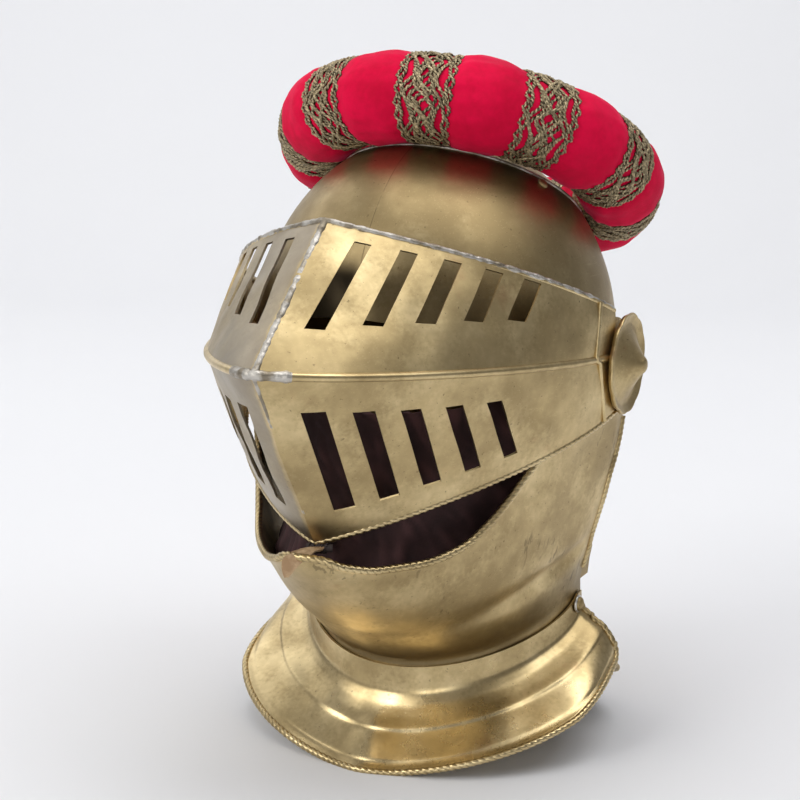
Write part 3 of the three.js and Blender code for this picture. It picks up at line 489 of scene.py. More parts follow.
top_roll = sweep("top_roll", resample(edges["top"], 2), 1.7, ROPE_SIDES)
top_line = [p + Vector((0, -0.4, 0.9)) for p in edges["top"]]
nose_line = [p + Vector((0, -0.8, 0)) for p in edges["ridge"] if abs(p.x) < 16]
solder_seams = [
    rough_seam("solder_top", top_line, 1.5, 0.3),
    rough_seam("solder_keel", [(0, -123.2, 294), (0, -193.2, 232)], 2.0, 0.28),
    rough_seam("solder_foot", [(0, -193.2, 231), (0, -133.5, 138.5)], 1.0, 0.3),
    rough_seam("solder_nose", nose_line, 2.5, 0.3),
]
BORDER = 0.905
borders = []
for side, label in ((1, "left"), (-1, "right")):
    line = [panel_point("top", BORDER, h, side) for h in np.linspace(1, 0, 12)]
    line += [panel_point("low", BORDER + 0.015, h, side) for h in np.linspace(0.05, 0.97, 12)]
    line = [p + Vector((side * 1.7, -0.6, 0)) for p in line]
    borders.append(sweep("border_" + label, resample(line, 1.5), 1.3))
for piece in (visor_rope, ridge_bead, top_roll, *solder_seams, *borders):
    smooth(piece, ROUND)
    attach(piece, "visor")
print("edges: rope", len(visor_rope.data.polygons), "solder", len(solder_seams[0].data.polygons))

# %% [markdown]
# ## The bevor
# The bevor guards the chin and turns on the pivots. It could be drawn as patches,
# but a lofted shell from collar to temples keeps the chin's bulge smooth. A prism
# cut in side view then opens the mouth and shapes the ears and the rear edges, and
# the ropes find those edges by solving for them on the shell.

# %% The bevor
# height from collar to temples, shares of width and reach, point, share of sag
BEVOR_ROWS = [
    (-0.1, 0, 0, 1.55, 1), (0.02, 0, 0, 1.55, 1), (0.08, 0.05, 0.2, 1.5, 0.85),
    (0.17, 0.2, 0.5, 1.4, 0.6), (0.29, 0.4, 0.8, 1.28, 0.3), (0.42, 0.63, 1, 1.18, 0.1),
    (0.57, 0.8, 1.03, 1.2, 0), (0.85, 1, 1.03, 1.5, 0), (1.2, 1, 1, 1.5, 0),
]
BEVOR_COLUMNS, BEVOR_GRID_ROWS = 160, 90
heights, *bevor_columns = zip(*BEVOR_ROWS)


def oval(width, reach, point, y, angle, facing=-1, draw=0):
    c = cos(angle)
    depth = reach * c ** (2 / point) if c > 0 else BEVOR_REAR * c
    shoulder = max(0, abs(degrees(angle)) - DRAW_FROM) / (90 - DRAW_FROM)
    return Vector((width * (1 - draw * shoulder) * sin(angle), y + facing * depth, 0))


def bevor_section(height, inset=0):
    width, front, point, sag = (curve_through(heights, c, height) for c in bevor_columns)
    return (
        NECK_WIDTH + (BEVOR_WIDTH - NECK_WIDTH) * width - inset,
        NECK_FRONT + (BEVOR_FRONT - NECK_FRONT) * front - inset,
        point,
        sag * NECK_SAG,
    )


def bevor_point(height, angle, inset=0):
    width, front, point, sag = bevor_section(height, inset)
    p = oval(width, front, point, BEVOR_Y, angle)
    c = max(cos(angle), 0)
    p.z = NECK_Z + (TEMPLE_Z - NECK_Z) * height - sag * c
    waist = 0.12 + 0.13 * (1 - c)
    pinch = 3 * exp(-(((height - waist) / 0.03) ** 2)) * min(1, 3 * c)
    away = Vector((p.x, p.y - BEVOR_Y, 0)).normalized()
    return p + away * (dented(p, 30, 0.9, 17) - pinch)


BEVOR_FOOT, BEVOR_TOP = -0.1, 1.2
grid = []
for i in range(BEVOR_GRID_ROWS + 1):
    height = BEVOR_FOOT + (BEVOR_TOP - BEVOR_FOOT) * i / BEVOR_GRID_ROWS
    turns = [2 * pi * j / BEVOR_COLUMNS - pi for j in range(BEVOR_COLUMNS)]
    grid.append([bevor_point(height, a) for a in turns])
bevor_plate = walled(grid_piece("bevor_plate", grid, ring=True))

# the mouth's edge in side view: reach behind the chin, rise over it
MOUTH = [
    (-0.2, 0.02), (0, 0), (0.05, -0.06), (0.14, -0.1), (0.26, -0.1),
    (0.4, -0.05), (0.52, 0.09), (0.64, 0.33), (0.76, 0.6),
]
# the rear edge: y behind the pivot, height from neck to pivot
REAR = [
    (27, 0.8), (23, 0.62), (16, 0.45), (16, 0.3), (20, 0.18), (21, 0.08), (24, 0), (24, -0.25),
]
chin = BEVOR_FRONT - BEVOR_Y
mouth = []
for back in np.linspace(MOUTH[0][0], MOUTH[-1][0], 60):
    rise = curve_through(*zip(*MOUTH), back)
    mouth.append((-chin * (1 - back), CHIN_Z + rise * (PIVOT_Z - CHIN_Z)))
EAR_RADIUS = 24
ear = [
    (PIVOT_Y + EAR_RADIUS * cos(a), PIVOT_Z + EAR_RADIUS * sin(a))
    for a in np.radians(np.linspace(170, 2, 22))
]
rear = []
rear_offsets, rear_heights = zip(*REAR[::-1])
for height in np.linspace(REAR[0][1], REAR[-1][1], 40):
    behind = curve_through(rear_heights, rear_offsets, height)
    rear.append((PIVOT_Y + behind, NECK_Z + height * (PIVOT_Z - NECK_Z)))
outline = mouth + ear + rear + [(-FAR, rear[-1][1] - NECK_SAG)]
bevor_plate = cut(bevor_plate, prism("profile", outline, "X", FAR), "INTERSECT")
bevor_plate = smooth(bevor_plate, 30)
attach(bevor_plate, "bevor")
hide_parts("bevor")


def solved(low, high, falls_short):
    """The value between low and high where falls_short turns false."""
    for _ in range(22):
        middle = (low + high) / 2
        low, high = (middle, high) if falls_short(middle) else (low, middle)
    return low


def bevor_face(y, z):
    """The bevor's outer face at a point of its side view."""
    under = lambda a: lambda h: bevor_point(h, a).z < z
    at = lambda a: bevor_point(solved(BEVOR_FOOT, BEVOR_TOP, under(a)), a)
    return at(solved(0, radians(110), lambda a: at(a).y < y))


def mouth_height(y):
    return CHIN_Z + curve_through(*zip(*MOUTH), 1 + y / chin) * (PIVOT_Z - CHIN_Z)


def mouth_point(a):
    low_enough = lambda h: bevor_point(h, a).z < mouth_height(bevor_point(h, a).y)
    return bevor_point(solved(BEVOR_FOOT, BEVOR_TOP, low_enough), a)


mouth_path = [mouth_point(a) for a in np.radians(np.linspace(0, 100, 160))]
mouth_path = [p for p in mouth_path if p.y < -chin * (1 - MOUTH[-1][0])]
mouth_path = [Vector(p) for p in resample(mouth_path[:0:-1], ROPE_STEP)][::-1]
bevor_rope = rope("bevor_rope", both_sides(mouth_path))
rear_line = [bevor_face(y, z) for y, z in rear[2:-12:3]]
bevor_edges = []
for side, label in ((1, "left"), (-1, "right")):
    line = [(side * p.x, p.y, p.z) for p in rear_line]
    bevor_edges.append(rope("rear_edge_" + label, line, 1.8, twist=9, ridge=0.25))
for piece in (bevor_rope, *bevor_edges):
    smooth(piece, ROUND)
    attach(piece, "bevor")
print("the bevor has", len(bevor_plate.data.polygons), "faces")

# %% [markdown]
# ## The neck plates
# They spread the helmet's load on the shoulders. Each flares from its collar over a
# pressed step to a roped rim. One function makes both from two ovals, a collar and
# a rim, because front and rear differ only in their sizes.

# %% The neck plates
# shares of the way out to the rim and down to it
FLARE = [
    (0, 0), (0.01, 0.27), (0.1, 0.41), (0.25, 0.53),
    (0.42, 0.635), (0.455, 0.67), (0.74, 0.85), (1, 1),
]
FLARE_STEPS, SPLIT_GAP = 48, 0.8


def rim_height(angle):
    climb = (abs(degrees(angle)) - GORGET_FOOT) / (GORGET_SHOULDER - GORGET_FOOT)
    return EDGE_ROLL - FOOT_CUT + GORGET_RISE * max(0, climb) ** 1.25


def neck_plate(name, span, count, rim, collar, sag, facing):
    rows = range(len(FLARE))
    grid = []
    for i in range(FLARE_STEPS + 1):
        k = (len(FLARE) - 1) * i / FLARE_STEPS
        out, down = (curve_through(rows, c, k) for c in zip(*FLARE))
        row = []
        for a in np.linspace(-span, span, count):
            p = oval(*collar, a, facing).lerp(oval(*rim, a, facing, RIM_DRAW), out)
            top = NECK_Z - sag * max(cos(a), 0)
            p.z = top + (rim_height(a) - top) * down
            away = Vector((sin(a), facing * cos(a), 0.6))
            full = max(0, abs(degrees(a)) - 50) / 40
            swell = min(1, 4 * out * (1 - out)) * (dented(p, 26, 1.1, 23) + 5 * min(1, full) ** 1.5)
            line = 0.5 * exp(-(((i - FLARE_STEPS + 3) / 0.8) ** 2))
            if facing < 0:
                p.y -= 3 * out * exp(-((degrees(a) / 7) ** 2))
            row.append(p + away * (swell - line))
        grid.append(row)
    plate = walled(grid_piece(name, grid if facing > 0 else grid[::-1]))
    split = GORGET_SPLIT_Y + SPLIT_GAP * facing
    bisect(plate, (0, split, 0), (0, -facing, 0))
    edge = [p for p in grid[-1] if facing * p.y > facing * split]
    if facing < 0:
        # the front plate's rope climbs its sides too
        sides = {1: [], -1: []}
        for side, line in sides.items():
            for row in grid[6:-1]:
                half = [p for p in row if p.x * side > 0]
                line.append(min(half, key=lambda p: abs(p.y - split + 1)))
        edge = sides[-1] + edge + sides[1][::-1]
    rim_rope = bisect(rope(name + "_rope", edge, 1.9), (0, 0, 0.02), (0, 0, -1))
    for piece in (smooth(plate, 40), smooth(rim_rope, ROUND)):
        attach(piece, "bevor" if facing < 0 else "skull")
    return plate, rim_rope


clasp = GAP + PLATE
neck_front, rope_front = neck_plate(
    "neck_plate_front", radians(112), 160,
    (GORGET_WIDTH, GORGET_FRONT, GORGET_BLUNT, BEVOR_Y),
    (NECK_WIDTH + clasp, NECK_FRONT + clasp, 1.55, BEVOR_Y), NECK_SAG, -1,
)
neck_rear, rope_rear = neck_plate(
    "neck_plate_rear", radians(90), 130,
    (NAPE_PLATE_WIDTH, NAPE_PLATE_REAR, 2, BEVOR_Y),
    (NAPE_WIDTH + clasp, NAPE_DEPTH + clasp, 2, SKULL_Y), 0, 1,
)
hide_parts("gorget_front")
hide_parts("gorget_rear")
print("neck plates:", len(neck_front.data.polygons), "and", len(neck_rear.data.polygons), "faces")

# %% [markdown]
# ## Pivots and rivets
# A rosette is a lobed dish with a turned cone, and covers the pivot. Its outline is
# turned round the axis, as on a lathe, and the lobes are pressed in towards the rim.
# One is made, and the other side gets a mirrored copy of its mesh. The rivets' round
# heads are placed from the solids, which know where each shank points.

# %% Pivots and rivets
LOBES, ROSETTE_RADIUS, ROSETTE_SIDES, STEPS = 12, 27, 144, 5


def mirrored_copy(obj, name):
    twin = obj.copy()
    twin.data = obj.data.copy()
    twin.name = twin.data.name = name
    bpy.context.collection.objects.link(twin)
    twin.data.transform(Matrix.Scale(-1, 4, (1, 0, 0)))
    twin.data.flip_normals()
    return twin


seat = VISOR_WIDTH + GAP
# the dish and its cone in one outline: lift off the visor, radius
DISH = [
    (0.6, 0.01), (0.6, 20), (2.2, 26.4), (3.6, ROSETTE_RADIUS), (4.5, 26.4), (3.4, 24),
    (2.6, 21.5), (2.9, 19.5), (4.6, 16), (7.2, 11.5), (9.8, 7.6), (12, 4.9), (13.4, 3.4),
    (14, 1.9), (14.2, 0.01),
]
stations = range(len(DISH))
grid = []
for i in range(STEPS * (len(DISH) - 1) + 1):
    lift, r = (curve_through(stations, column, i / STEPS) for column in zip(*DISH))
    share = min(1, r / ROSETTE_RADIUS) ** 6
    row = []
    for j in range(ROSETTE_SIDES):
        a = 2 * pi * j / ROSETTE_SIDES
        reach = r - share * 0.9 * (1 - abs(sin(a * LOBES / 2)))
        row.append((seat + lift, PIVOT_Y + reach * cos(a), PIVOT_Z + reach * sin(a)))
    grid.append(row)
pivot_left = smooth(outward(grid_piece("pivot_left", grid, ring=True)), 50)
pivot_right = mirrored_copy(pivot_left, "pivot_right")
for piece, side in ((pivot_left, "left"), (pivot_right, "right")):
    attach(piece, "skull")
    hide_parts("rosette_" + side)


def rivet_axis(verts):
    """The head's tip and the way it points, from a turned node's points."""
    centre = verts.mean(axis=0)
    vectors = np.linalg.eigh(np.cov((verts - centre).T))[1]
    best = None
    for axis in vectors.T:
        along = (verts - centre) @ axis
        across = np.linalg.norm((verts - centre) - np.outer(along, axis), axis=1)
        ends = [across[along < along.min() + 1e-4].max(), across[along > along.max() - 1e-4].max()]
        score = abs(ends[0] - ends[1])
        if min(ends) < 2e-4 and (best is None or score > best[0]):
            far = along.min() if ends[0] < ends[1] else along.max()
            best = (score, Vector(centre + axis * far), Vector(axis) * (1 if far > 0 else -1))
    return best[1:]


def added(name, primitive, **settings):
    """A new primitive under its own name, with nothing else selected."""
    bpy.ops.object.select_all(action="DESELECT")
    primitive(**settings)
    obj = bpy.context.object
    obj.name = obj.data.name = name
    return obj


def rivet(node, body, radius):
    verts = np.array([tuple(v.co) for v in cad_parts[node].data.vertices])
    tip, axis = rivet_axis(verts)
    ball = bpy.ops.mesh.primitive_uv_sphere_add
    head = added(node + "_head", ball, segments=28, ring_count=14, radius=radius * MM)
    squash = Matrix.Diagonal((1, 1, 0.62, 1))
    turn = Vector((0, 0, 1)).rotation_difference(axis).to_matrix().to_4x4()
    place = Matrix.Translation(tip - axis * radius * 0.6 * MM)
    head.data.transform(place @ turn @ squash)
    smooth(head, ROUND)
    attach(head, body)
    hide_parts(node)
    return head


rivets = []
for node in sorted(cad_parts):
    if "_rivet_" in node:
        body = "bevor" if node.startswith("neck") else "skull"
        rivets.append(rivet(node, body, 3 if node.startswith("crown") else 4))
washers = []
for node in ("neck_washer_left", "neck_washer_right"):
    low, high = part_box(node)
    ring = added(
        node + "_ring", bpy.ops.mesh.primitive_torus_add,
        major_radius=4.2 * MM, minor_radius=0.8 * MM, major_segments=40, minor_segments=10,
    )
    turn = Matrix.Rotation(pi / 2, 4, "Y")
    ring.data.transform(Matrix.Translation((low + high) / 2) @ turn)
    smooth(ring, ROUND)
    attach(ring, "bevor")
    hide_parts(node)
    washers.append(ring)
print("heads:", len(rivets), "washers:", len(washers))

# %% [markdown]
# ## The wreath
# The real one is a tube of cloth, stuffed and bound at even steps. A torus alone
# would look turned on a lathe. So it is pulled in where the bands sit, a cloth
# simulation blows up the padding between them, and gathers run into each band.

# %% The wreath
CROWN_BACK = Vector((0, cos(CROWN_TILT), -sin(CROWN_TILT)))
wreath_centre = CROWN_EDGE + CROWN_BACK * WREATH_BACK + crown_normal * WREATH_LIFT


def crown_half_width():
    """Half the width of the bowl's upper edge at its middle."""
    y = (CROWN_EDGE.y - SKULL_Y) / SKULL_DEPTH
    z = (CROWN_EDGE.z - TEMPLE_Z) / SKULL_HEIGHT
    return SKULL_WIDTH * sqrt(1 - y * y - z * z)


WREATH_RADIUS = crown_half_width() + WREATH_OVERHANG
BAND_STEP = 2 * pi / LACE_BANDS
BAND_HALF = LACE_WIDTH / 2 / WREATH_RADIUS


def wreath_point(around, section, radius):
    ring = WREATH_RADIUS + radius * cos(section)
    flat = Vector((ring * sin(around), -ring * cos(around), radius * sin(section)))
    flat.rotate(Matrix.Rotation(-CROWN_TILT, 3, "X"))
    return flat + wreath_centre


def band_distance(around):
    """Distance from the nearest band's middle, in half bands."""
    offset = (around - radians(LACE_FIRST) + BAND_STEP / 2) % BAND_STEP - BAND_STEP / 2
    return abs(offset) / BAND_HALF


def on_wreath(co):
    """Angle round the ring and angle round the padding of a frame point."""
    p = Vector((co.x, co.y - SHIFT_Y, co.z)) / MM - wreath_centre
    p.rotate(Matrix.Rotation(CROWN_TILT, 3, "X"))
    ring = hypot(p.x, p.y) - WREATH_RADIUS
    return atan2(p.x, -p.y), atan2(p.z, ring)


BLOW_FRAMES = 20


def blown(obj, pinned, pressure=7, cap=4, voxel=3.4):
    """The piece swollen by a cloth simulation, no point further than cap mm."""
    use(obj, "REMESH", mode="VOXEL", voxel_size=voxel * MM)
    start = [v.co.copy() for v in obj.data.vertices]
    group = obj.vertex_groups.new(name="pinned")
    for v in obj.data.vertices:
        group.add([v.index], pinned(v.co), "REPLACE")
    cloth = obj.modifiers.new("cloth", "CLOTH")
    cloth.settings.vertex_group_mass = "pinned"
    cloth.settings.use_pressure = True
    cloth.settings.uniform_pressure_force = pressure
    cloth.settings.effector_weights.gravity = 0
    cloth.point_cache.frame_start, cloth.point_cache.frame_end = 1, BLOW_FRAMES
    for frame_number in range(1, BLOW_FRAMES + 1):
        bpy.context.scene.frame_set(frame_number)
    chosen(obj)
    bpy.ops.object.modifier_apply(modifier="cloth")
    bpy.context.scene.frame_set(1)
    for v, before in zip(obj.data.vertices, start):
        moved = v.co - before
        if moved.length > cap * MM:
            v.co = before + moved.normalized() * cap * MM
    obj.vertex_groups.clear()
    return use(obj, "SUBSURF", levels=1, render_levels=1)


AROUND, SECTION = 160, 40
grid = []
for i in range(AROUND):
    around = 2 * pi * i / AROUND
    puff = sin(min(1, max(0, (band_distance(around) - 0.96) / 0.5)) * pi / 2)
    radius = WREATH_TUBE - LACE_SINK + 0.4 + puff * 2.2
    grid.append([wreath_point(around, 2 * pi * j / SECTION, radius) for j in range(SECTION)])
grid.append(grid[0])
wreath_pad = outward(grid_piece("wreath_pad", grid, ring=True))
wreath_pad = blown(wreath_pad, lambda co: 1 if band_distance(on_wreath(co)[0]) < 1.02 else 0)

PEAK_AROUND, PEAK_SECTION = radians(22), radians(105)
for v in wreath_pad.data.vertices:
    around, section = on_wreath(v.co)
    beyond = band_distance(around) - 1
    gather = exp(-abs(beyond) * 3) if beyond > 0 else 0
    ripple = noise.noise(Vector((cos(section) * 4, sin(section) * 4, around * 5)))
    soft = noise.noise(v.co / MM / 17)
    far = ((around - PEAK_AROUND) / 0.16) ** 2 + ((section - PEAK_SECTION) / 0.4) ** 2
    lift = 1.5 * gather * ripple + (1.2 * soft + 0.4 * ripple) * min(1, max(0, beyond) * 2)
    lift += 4.5 * exp(-far)
    away = Vector(wreath_point(around, section, 1)) - Vector(wreath_point(around, section, 0))
    v.co += away * lift * MM
wreath_pad = smooth(wreath_pad, 180)
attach(wreath_pad, "skull")
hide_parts("wreath")
print("the wreath has", len(wreath_pad.data.polygons), "faces")

# %% [markdown]
# ## The lace
# Each band is braided from metal cords that wind round the padding. A bump would
# stay flat at the outline, so every strand is modelled. A cord is two twisted
# strands, and a wave says how each cord wanders across the band and over others.

# %% The lace
LACE_TURN = 2 * pi * WREATH_TUBE
STRAND, STRAND_STEP, STRAND_TWIST = 0.6, 0.85, 4.2


def wave(middle, reach, pitch, phase, lift=0.25):
    """How far across the band and how high a cord lies, along its run."""
    turns = max(1, round(LACE_TURN / pitch))

    def wander(run):
        a = 2 * pi * turns * run / LACE_TURN + phase
        across = middle + reach * (sin(a) + 0.25 * sin(2 * a + phase))
        return across, 0.3 + lift * cos(a + 2 * phase)

    return wander


def lace_cords(band):
    """The cords of one band: chained borders with loops, and pairs between."""
    rng = random.Random(40 + band)
    turn = lambda: rng.random() * 6
    cords = []
    for sign in (-1, 1):
        cords.append(wave(sign * 11.3, 0.7, 7.5, turn(), 0.2))
        cords.append(wave(sign * 9.5, 0.5, 11, turn(), 0.2))
        pair = turn()
        cords.append(wave(sign * 6.6, 2.0, 24, pair, 0.5))
        cords.append(wave(sign * 5.2, 2.2, 24, pair + 0.5, 0.5))
    pair = turn()
    cords.append(wave(-1.2, 3.6, 29, pair, 0.6))
    cords.append(wave(0.9, 3.6, 29, pair + 0.3, 0.6))
    cords.append(wave(0.9, 3.9, 29, pair + pi, 0.6))
    cords.append(wave(-0.9, 3.9, 29, pair + 3.6, 0.6))
    for middle in (-3.4, 0, 3.4):
        cords.append(wave(middle, 1.7, 13, turn(), 0.4))
    return cords


def lace_band(band):
    points, faces, heights = [], [], []
    sides, count, turns = 4, round(LACE_TURN / STRAND_STEP), round(LACE_TURN / STRAND_TWIST)
    middle = radians(LACE_FIRST) + band * BAND_STEP
    for n, wander in enumerate(lace_cords(band)):
        for half in (0, pi):
            strand = []
            for i in range(count):
                section = 2 * pi * i / count
                across, lift = wander(LACE_TURN * i / count)
                twist = turns * section + n + half
                t = across + 0.55 * cos(twist)
                r = WREATH_TUBE - LACE_SINK + 0.5 + lift + 0.4 * sin(twist)
                p = wreath_point(middle + t / WREATH_RADIUS, section, r)
                strand.append((p, section, twist, lift))
            start = len(points)
            for i, (p, section, twist, lift) in enumerate(strand):
                along = (strand[(i + 1) % count][0] - strand[i - 1][0]).normalized()
                up = wreath_point(middle, section, 1) - wreath_point(middle, section, 0)
                side = along.cross(up).normalized()
                for k in range(sides):
                    a = 2 * pi * k / sides + 0.6
                    points.append(p + (up * cos(a) + side * sin(a)) * STRAND)
                    # the height is highest on each strand's top and on raised cords, for painted
                    # light and shade
                    heights.append(0.5 + 0.28 * cos(a) + 0.22 * sin(twist) + 0.2 * lift)
            faces += grid_faces(count, sides, ring=True, start=start, closed=True)
    braid = with_height(mesh_piece("lace_%d_braid" % (band + 1), points, faces), heights)
    smooth(outward(braid), 180)
    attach(braid, "skull")
    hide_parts("lace_%d" % (band + 1))
    return braid


lace = [lace_band(band) for band in range(LACE_BANDS)]
print("lace:", len(lace), "bands of", len(lace[0].data.polygons), "faces")

# %% [markdown]
# ## The lining, the tab and its thread
# The lining is one sheet behind the mouth and the lower slots, held by the bevor
# at its foot. Noise along its width gives upright folds that a simulation would
# have to be coaxed into, and the same values paint shade into the hollows and
# light onto the crests later.

# %% The lining
LINING_ROWS = [(0, 0), (0.18, 0.02), (0.28, 0.12), (0.34, 0.5), (0.4, 0.8), (0.6, 0.9), (1, 1)]
LINING_INWARD, LINING_SPAN, LINING_FOOT_Z, LINING_TOP_Z = 30, radians(57), 94, 200
LINING_UP, LINING_ACROSS = 70, 140
grid, folds = [], []
for i in range(LINING_UP + 1):
    height = i / LINING_UP
    inward = curve_through(*zip(*LINING_ROWS), height)
    z = LINING_FOOT_Z + (LINING_TOP_Z - LINING_FOOT_Z) * height
    row = []
    for j in range(LINING_ACROSS + 1):
        a = LINING_SPAN * (2 * j / LINING_ACROSS - 1)
        width, front, point, sag = bevor_section((z - NECK_Z) / (TEMPLE_Z - NECK_Z), PLATE + 1.8)
        away = LINING_INWARD * inward
        sway = 0.9 * noise.noise(Vector((a * 2, 0, z / 21)))
        fold = noise.noise(Vector((a * 7 + sway, z / 60, 4)))
        fold += 0.7 * (0.5 - 2 * abs(noise.noise(Vector((a * 14 + z / 11 + sway, z / 16, 9)))))
        fold = min(1, height * 5) * (2.6 + 3.4 * fold)
        folds.append(fold)
        inside = max(0, fold) + 3.2 * max(0, 1 - 4 * height)
        p = oval(width - 0.3 * away - inside * 0.6, front - away - inside, point, BEVOR_Y, a)
        p.z = z - sag * cos(a)
        row.append(p)
    grid.append(row)
lowest, span = min(folds), max(folds) - min(folds)
# the folds' depth as a height, high on the crests, for painted light and shade
shades = [1 - (fold - lowest) / span for fold in folds]
lining_cloth = with_height(grid_piece("lining_cloth", grid), shades)
lining_cloth = smooth(walled(lining_cloth, 1.6), ROUND)
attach(lining_cloth, "bevor")
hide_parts("lining")

# %% [markdown]
# The leather tab hangs over the bevor's edge and is bound on with thread. It is a
# strip laid along a curve, with a thickness and rounded edges, and the thread is
# seven short loops, joined as one piece because they are one binding.

# %% The tab and its thread
# centre of each cross line, its half width
TAB = [
    (4, -132, 136, 3.4), (1, -136.5, 136.2, 4.2), (-1.5, -142, 136, 5.2), (-3, -147.5, 134.6, 5.6),
    (-4.4, -150.6, 131.6, 4.4), (-5.6, -151.6, 127.6, 2.6), (-6.2, -151.8, 124.6, 0.8),
]
AZIMUTH, TAB_ACROSS = radians(25), 12
ACROSS = Vector((cos(AZIMUTH), sin(AZIMUTH), 0))
stations = range(len(TAB))
grid = []
for i in range(STEPS * (len(TAB) - 1) + 1):
    x, y, z, half = (curve_through(stations, column, i / STEPS) for column in zip(*TAB))
    centre = Vector((x, y, z))
    half += 0.5 * noise.noise(centre / 3)
    row = []
    for j in range(TAB_ACROSS + 1):
        t = 2 * j / TAB_ACROSS - 1
        curl = Vector((0, 0.25, -1)) * (t * t * 0.16 * half)
        curl.z += 0.4 * noise.noise(centre / 4 + Vector((t, 0, 0)))
        row.append(centre + ACROSS * half * t + curl)
    grid.append(row)
tab = walled(grid_piece("tab", grid), 1.3, offset=0)
use(tab, "BEVEL", width=0.3 * MM, segments=2, limit_method="ANGLE")
tab = smooth(outward(tab), 50)
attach(tab, "visor")
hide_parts("beak_tab")
knot = Vector((1.5, -133.2, 135.4))
binding = [sweep("knot", [knot - ACROSS * 6, knot + ACROSS * 7], 2.1, 14)]
for k in range(7):
    middle = knot + ACROSS * (1.35 * k - 4)
    lean = 0.5 * sin(2.4 * k)
    loop = []
    for a in np.linspace(0, 2 * pi, 36, endpoint=False):
        c, s = cos(a), sin(a)
        loop.append(middle + ACROSS * lean * s + Vector((0, 2.5 * c, 2.5 * s)))
    binding.append(sweep("binding_%d" % k, loop, 0.5, 8, twist=2.2, ridge=0.3, closed=True))
thread = smooth(join("tab_thread", binding), ROUND)
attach(thread, "visor")
print("the tab has", len(tab.data.polygons), "faces, the thread", len(thread.data.polygons))

# %% [markdown]
# ## Shader arithmetic
# Worn metal takes many masks. Wiring each node by hand would hide the idea, so a
# small class lets node values be written as plain sums.

# %% Shader arithmetic


class Value:
    """A socket's value that adds, multiplies and mixes like a number."""

    def __init__(self, tree, socket):
        self.tree, self.socket = tree, socket

    def node(self, kind, inputs, output=0, **settings):
        made = self.tree.nodes.new(kind)
        for key, value in settings.items():
            if key == "stops":
                ramp = made.color_ramp
                while len(ramp.elements) > len(value):
                    ramp.elements.remove(ramp.elements[-1])
                for i, (at, shade) in enumerate(value):
                    stop = ramp.elements[i] if i < len(ramp.elements) else ramp.elements.new(at)
                    stop.position, stop.color = at, (shade, shade, shade, 1)
            else:
                setattr(made, key, value)
        for key, value in inputs.items():
            if isinstance(value, Value):
                self.tree.links.new(value.socket, made.inputs[key])
            else:
                made.inputs[key].default_value = value
        return Value(self.tree, made.outputs[output])

    def math(self, operation, other, swap=False):
        a, b = (other, self) if swap else (self, other)
        return self.node("ShaderNodeMath", {0: a, 1: b}, operation=operation)

    def __add__(self, other):
        return self.math("ADD", other)

    def __sub__(self, other):
        return self.math("SUBTRACT", other)

    def __rsub__(self, other):
        return self.math("SUBTRACT", other, True)

    def __mul__(self, other):
        return self.math("MULTIPLY", other)

    __radd__, __rmul__ = __add__, __mul__

    def above(self, low, high):
        """0 under low, 1 over high, smooth between."""
        return self.node(
            "ShaderNodeMapRange", {"Value": self, "From Min": low, "From Max": high},
            interpolation_type="SMOOTHSTEP",
        )

    def blend(self, low, high):
        """From colour low where the value is 0 to colour high where it is 1."""
        low, high = (v if isinstance(v, Value) else (*v, 1) for v in (low, high))
        return self.node(
            "ShaderNodeMix", {0: self, 6: low, 7: high}, output=2, data_type="RGBA"
        )


class Material:
    """A node material with the pattern sources that the pieces share."""

    def __init__(self, name, **constants):
        self.material = bpy.data.materials.new(name)
        self.material.use_nodes = True
        self.tree = self.material.node_tree
        self.shader = self.tree.nodes["Principled BSDF"]
        for key, value in constants.items():
            self.shader.inputs[key.replace("_", " ")].default_value = value
        self.co = Value(self.tree, self.tree.nodes.new("ShaderNodeTexCoord").outputs["Object"])

    def noise(self, scale, detail=3, stretch=None, rough=0.55):
        co = self.co
        if stretch:
            co = co.node("ShaderNodeVectorMath", {0: co, 1: stretch}, operation="MULTIPLY")
        return co.node(
            "ShaderNodeTexNoise",
            {"Vector": co, "Scale": scale, "Detail": detail, "Roughness": rough},
        )

    def attribute(self, name):
        made = self.tree.nodes.new("ShaderNodeAttribute")
        made.attribute_name = name
        return Value(self.tree, made.outputs["Fac"])

    def axis(self, k):
        return self.co.node("ShaderNodeSeparateXYZ", {0: self.co}, output=k)

    def finish(self, colour, rough, relief=None, strength=0, depth=0):
        """Links what varies over the surface."""
        links = {"Base Color": colour, "Roughness": rough}
        if relief:
            bump = {"Height": relief, "Strength": strength, "Distance": depth}
            links["Normal"] = relief.node("ShaderNodeBump", bump)
        for socket, value in links.items():
            self.tree.links.new(value.socket, self.shader.inputs[socket])
        return self

    def onto(self, *objs):
        for obj in objs:
            obj.data.materials.clear()
            obj.data.materials.append(self.material)


print("shader helpers are ready")

# %% [markdown]
# ## Materials
# The brass is worn: brown patina in patches, pale rubbed places, dark specks,
# copper stains and fine scratches. One function layers them for every plate, and
# its switches add what a plate has alone, such as a seam down the middle, a grey
# wash that is tin and a painted reflection, and painted shade on the brow and in grooves.

# %% Brass
PALE, BRASS, OLIVE = (0.76, 0.61, 0.34), (0.59, 0.455, 0.235), (0.38, 0.285, 0.14)
BROWN, COPPER, TIN_AND_REFLECTION_GREY = (0.10, 0.07, 0.035), (0.46, 0.25, 0.13), (0.25, 0.225, 0.195)
PAINTED_SHADE_BLACK = (0.02, 0.015, 0.01)


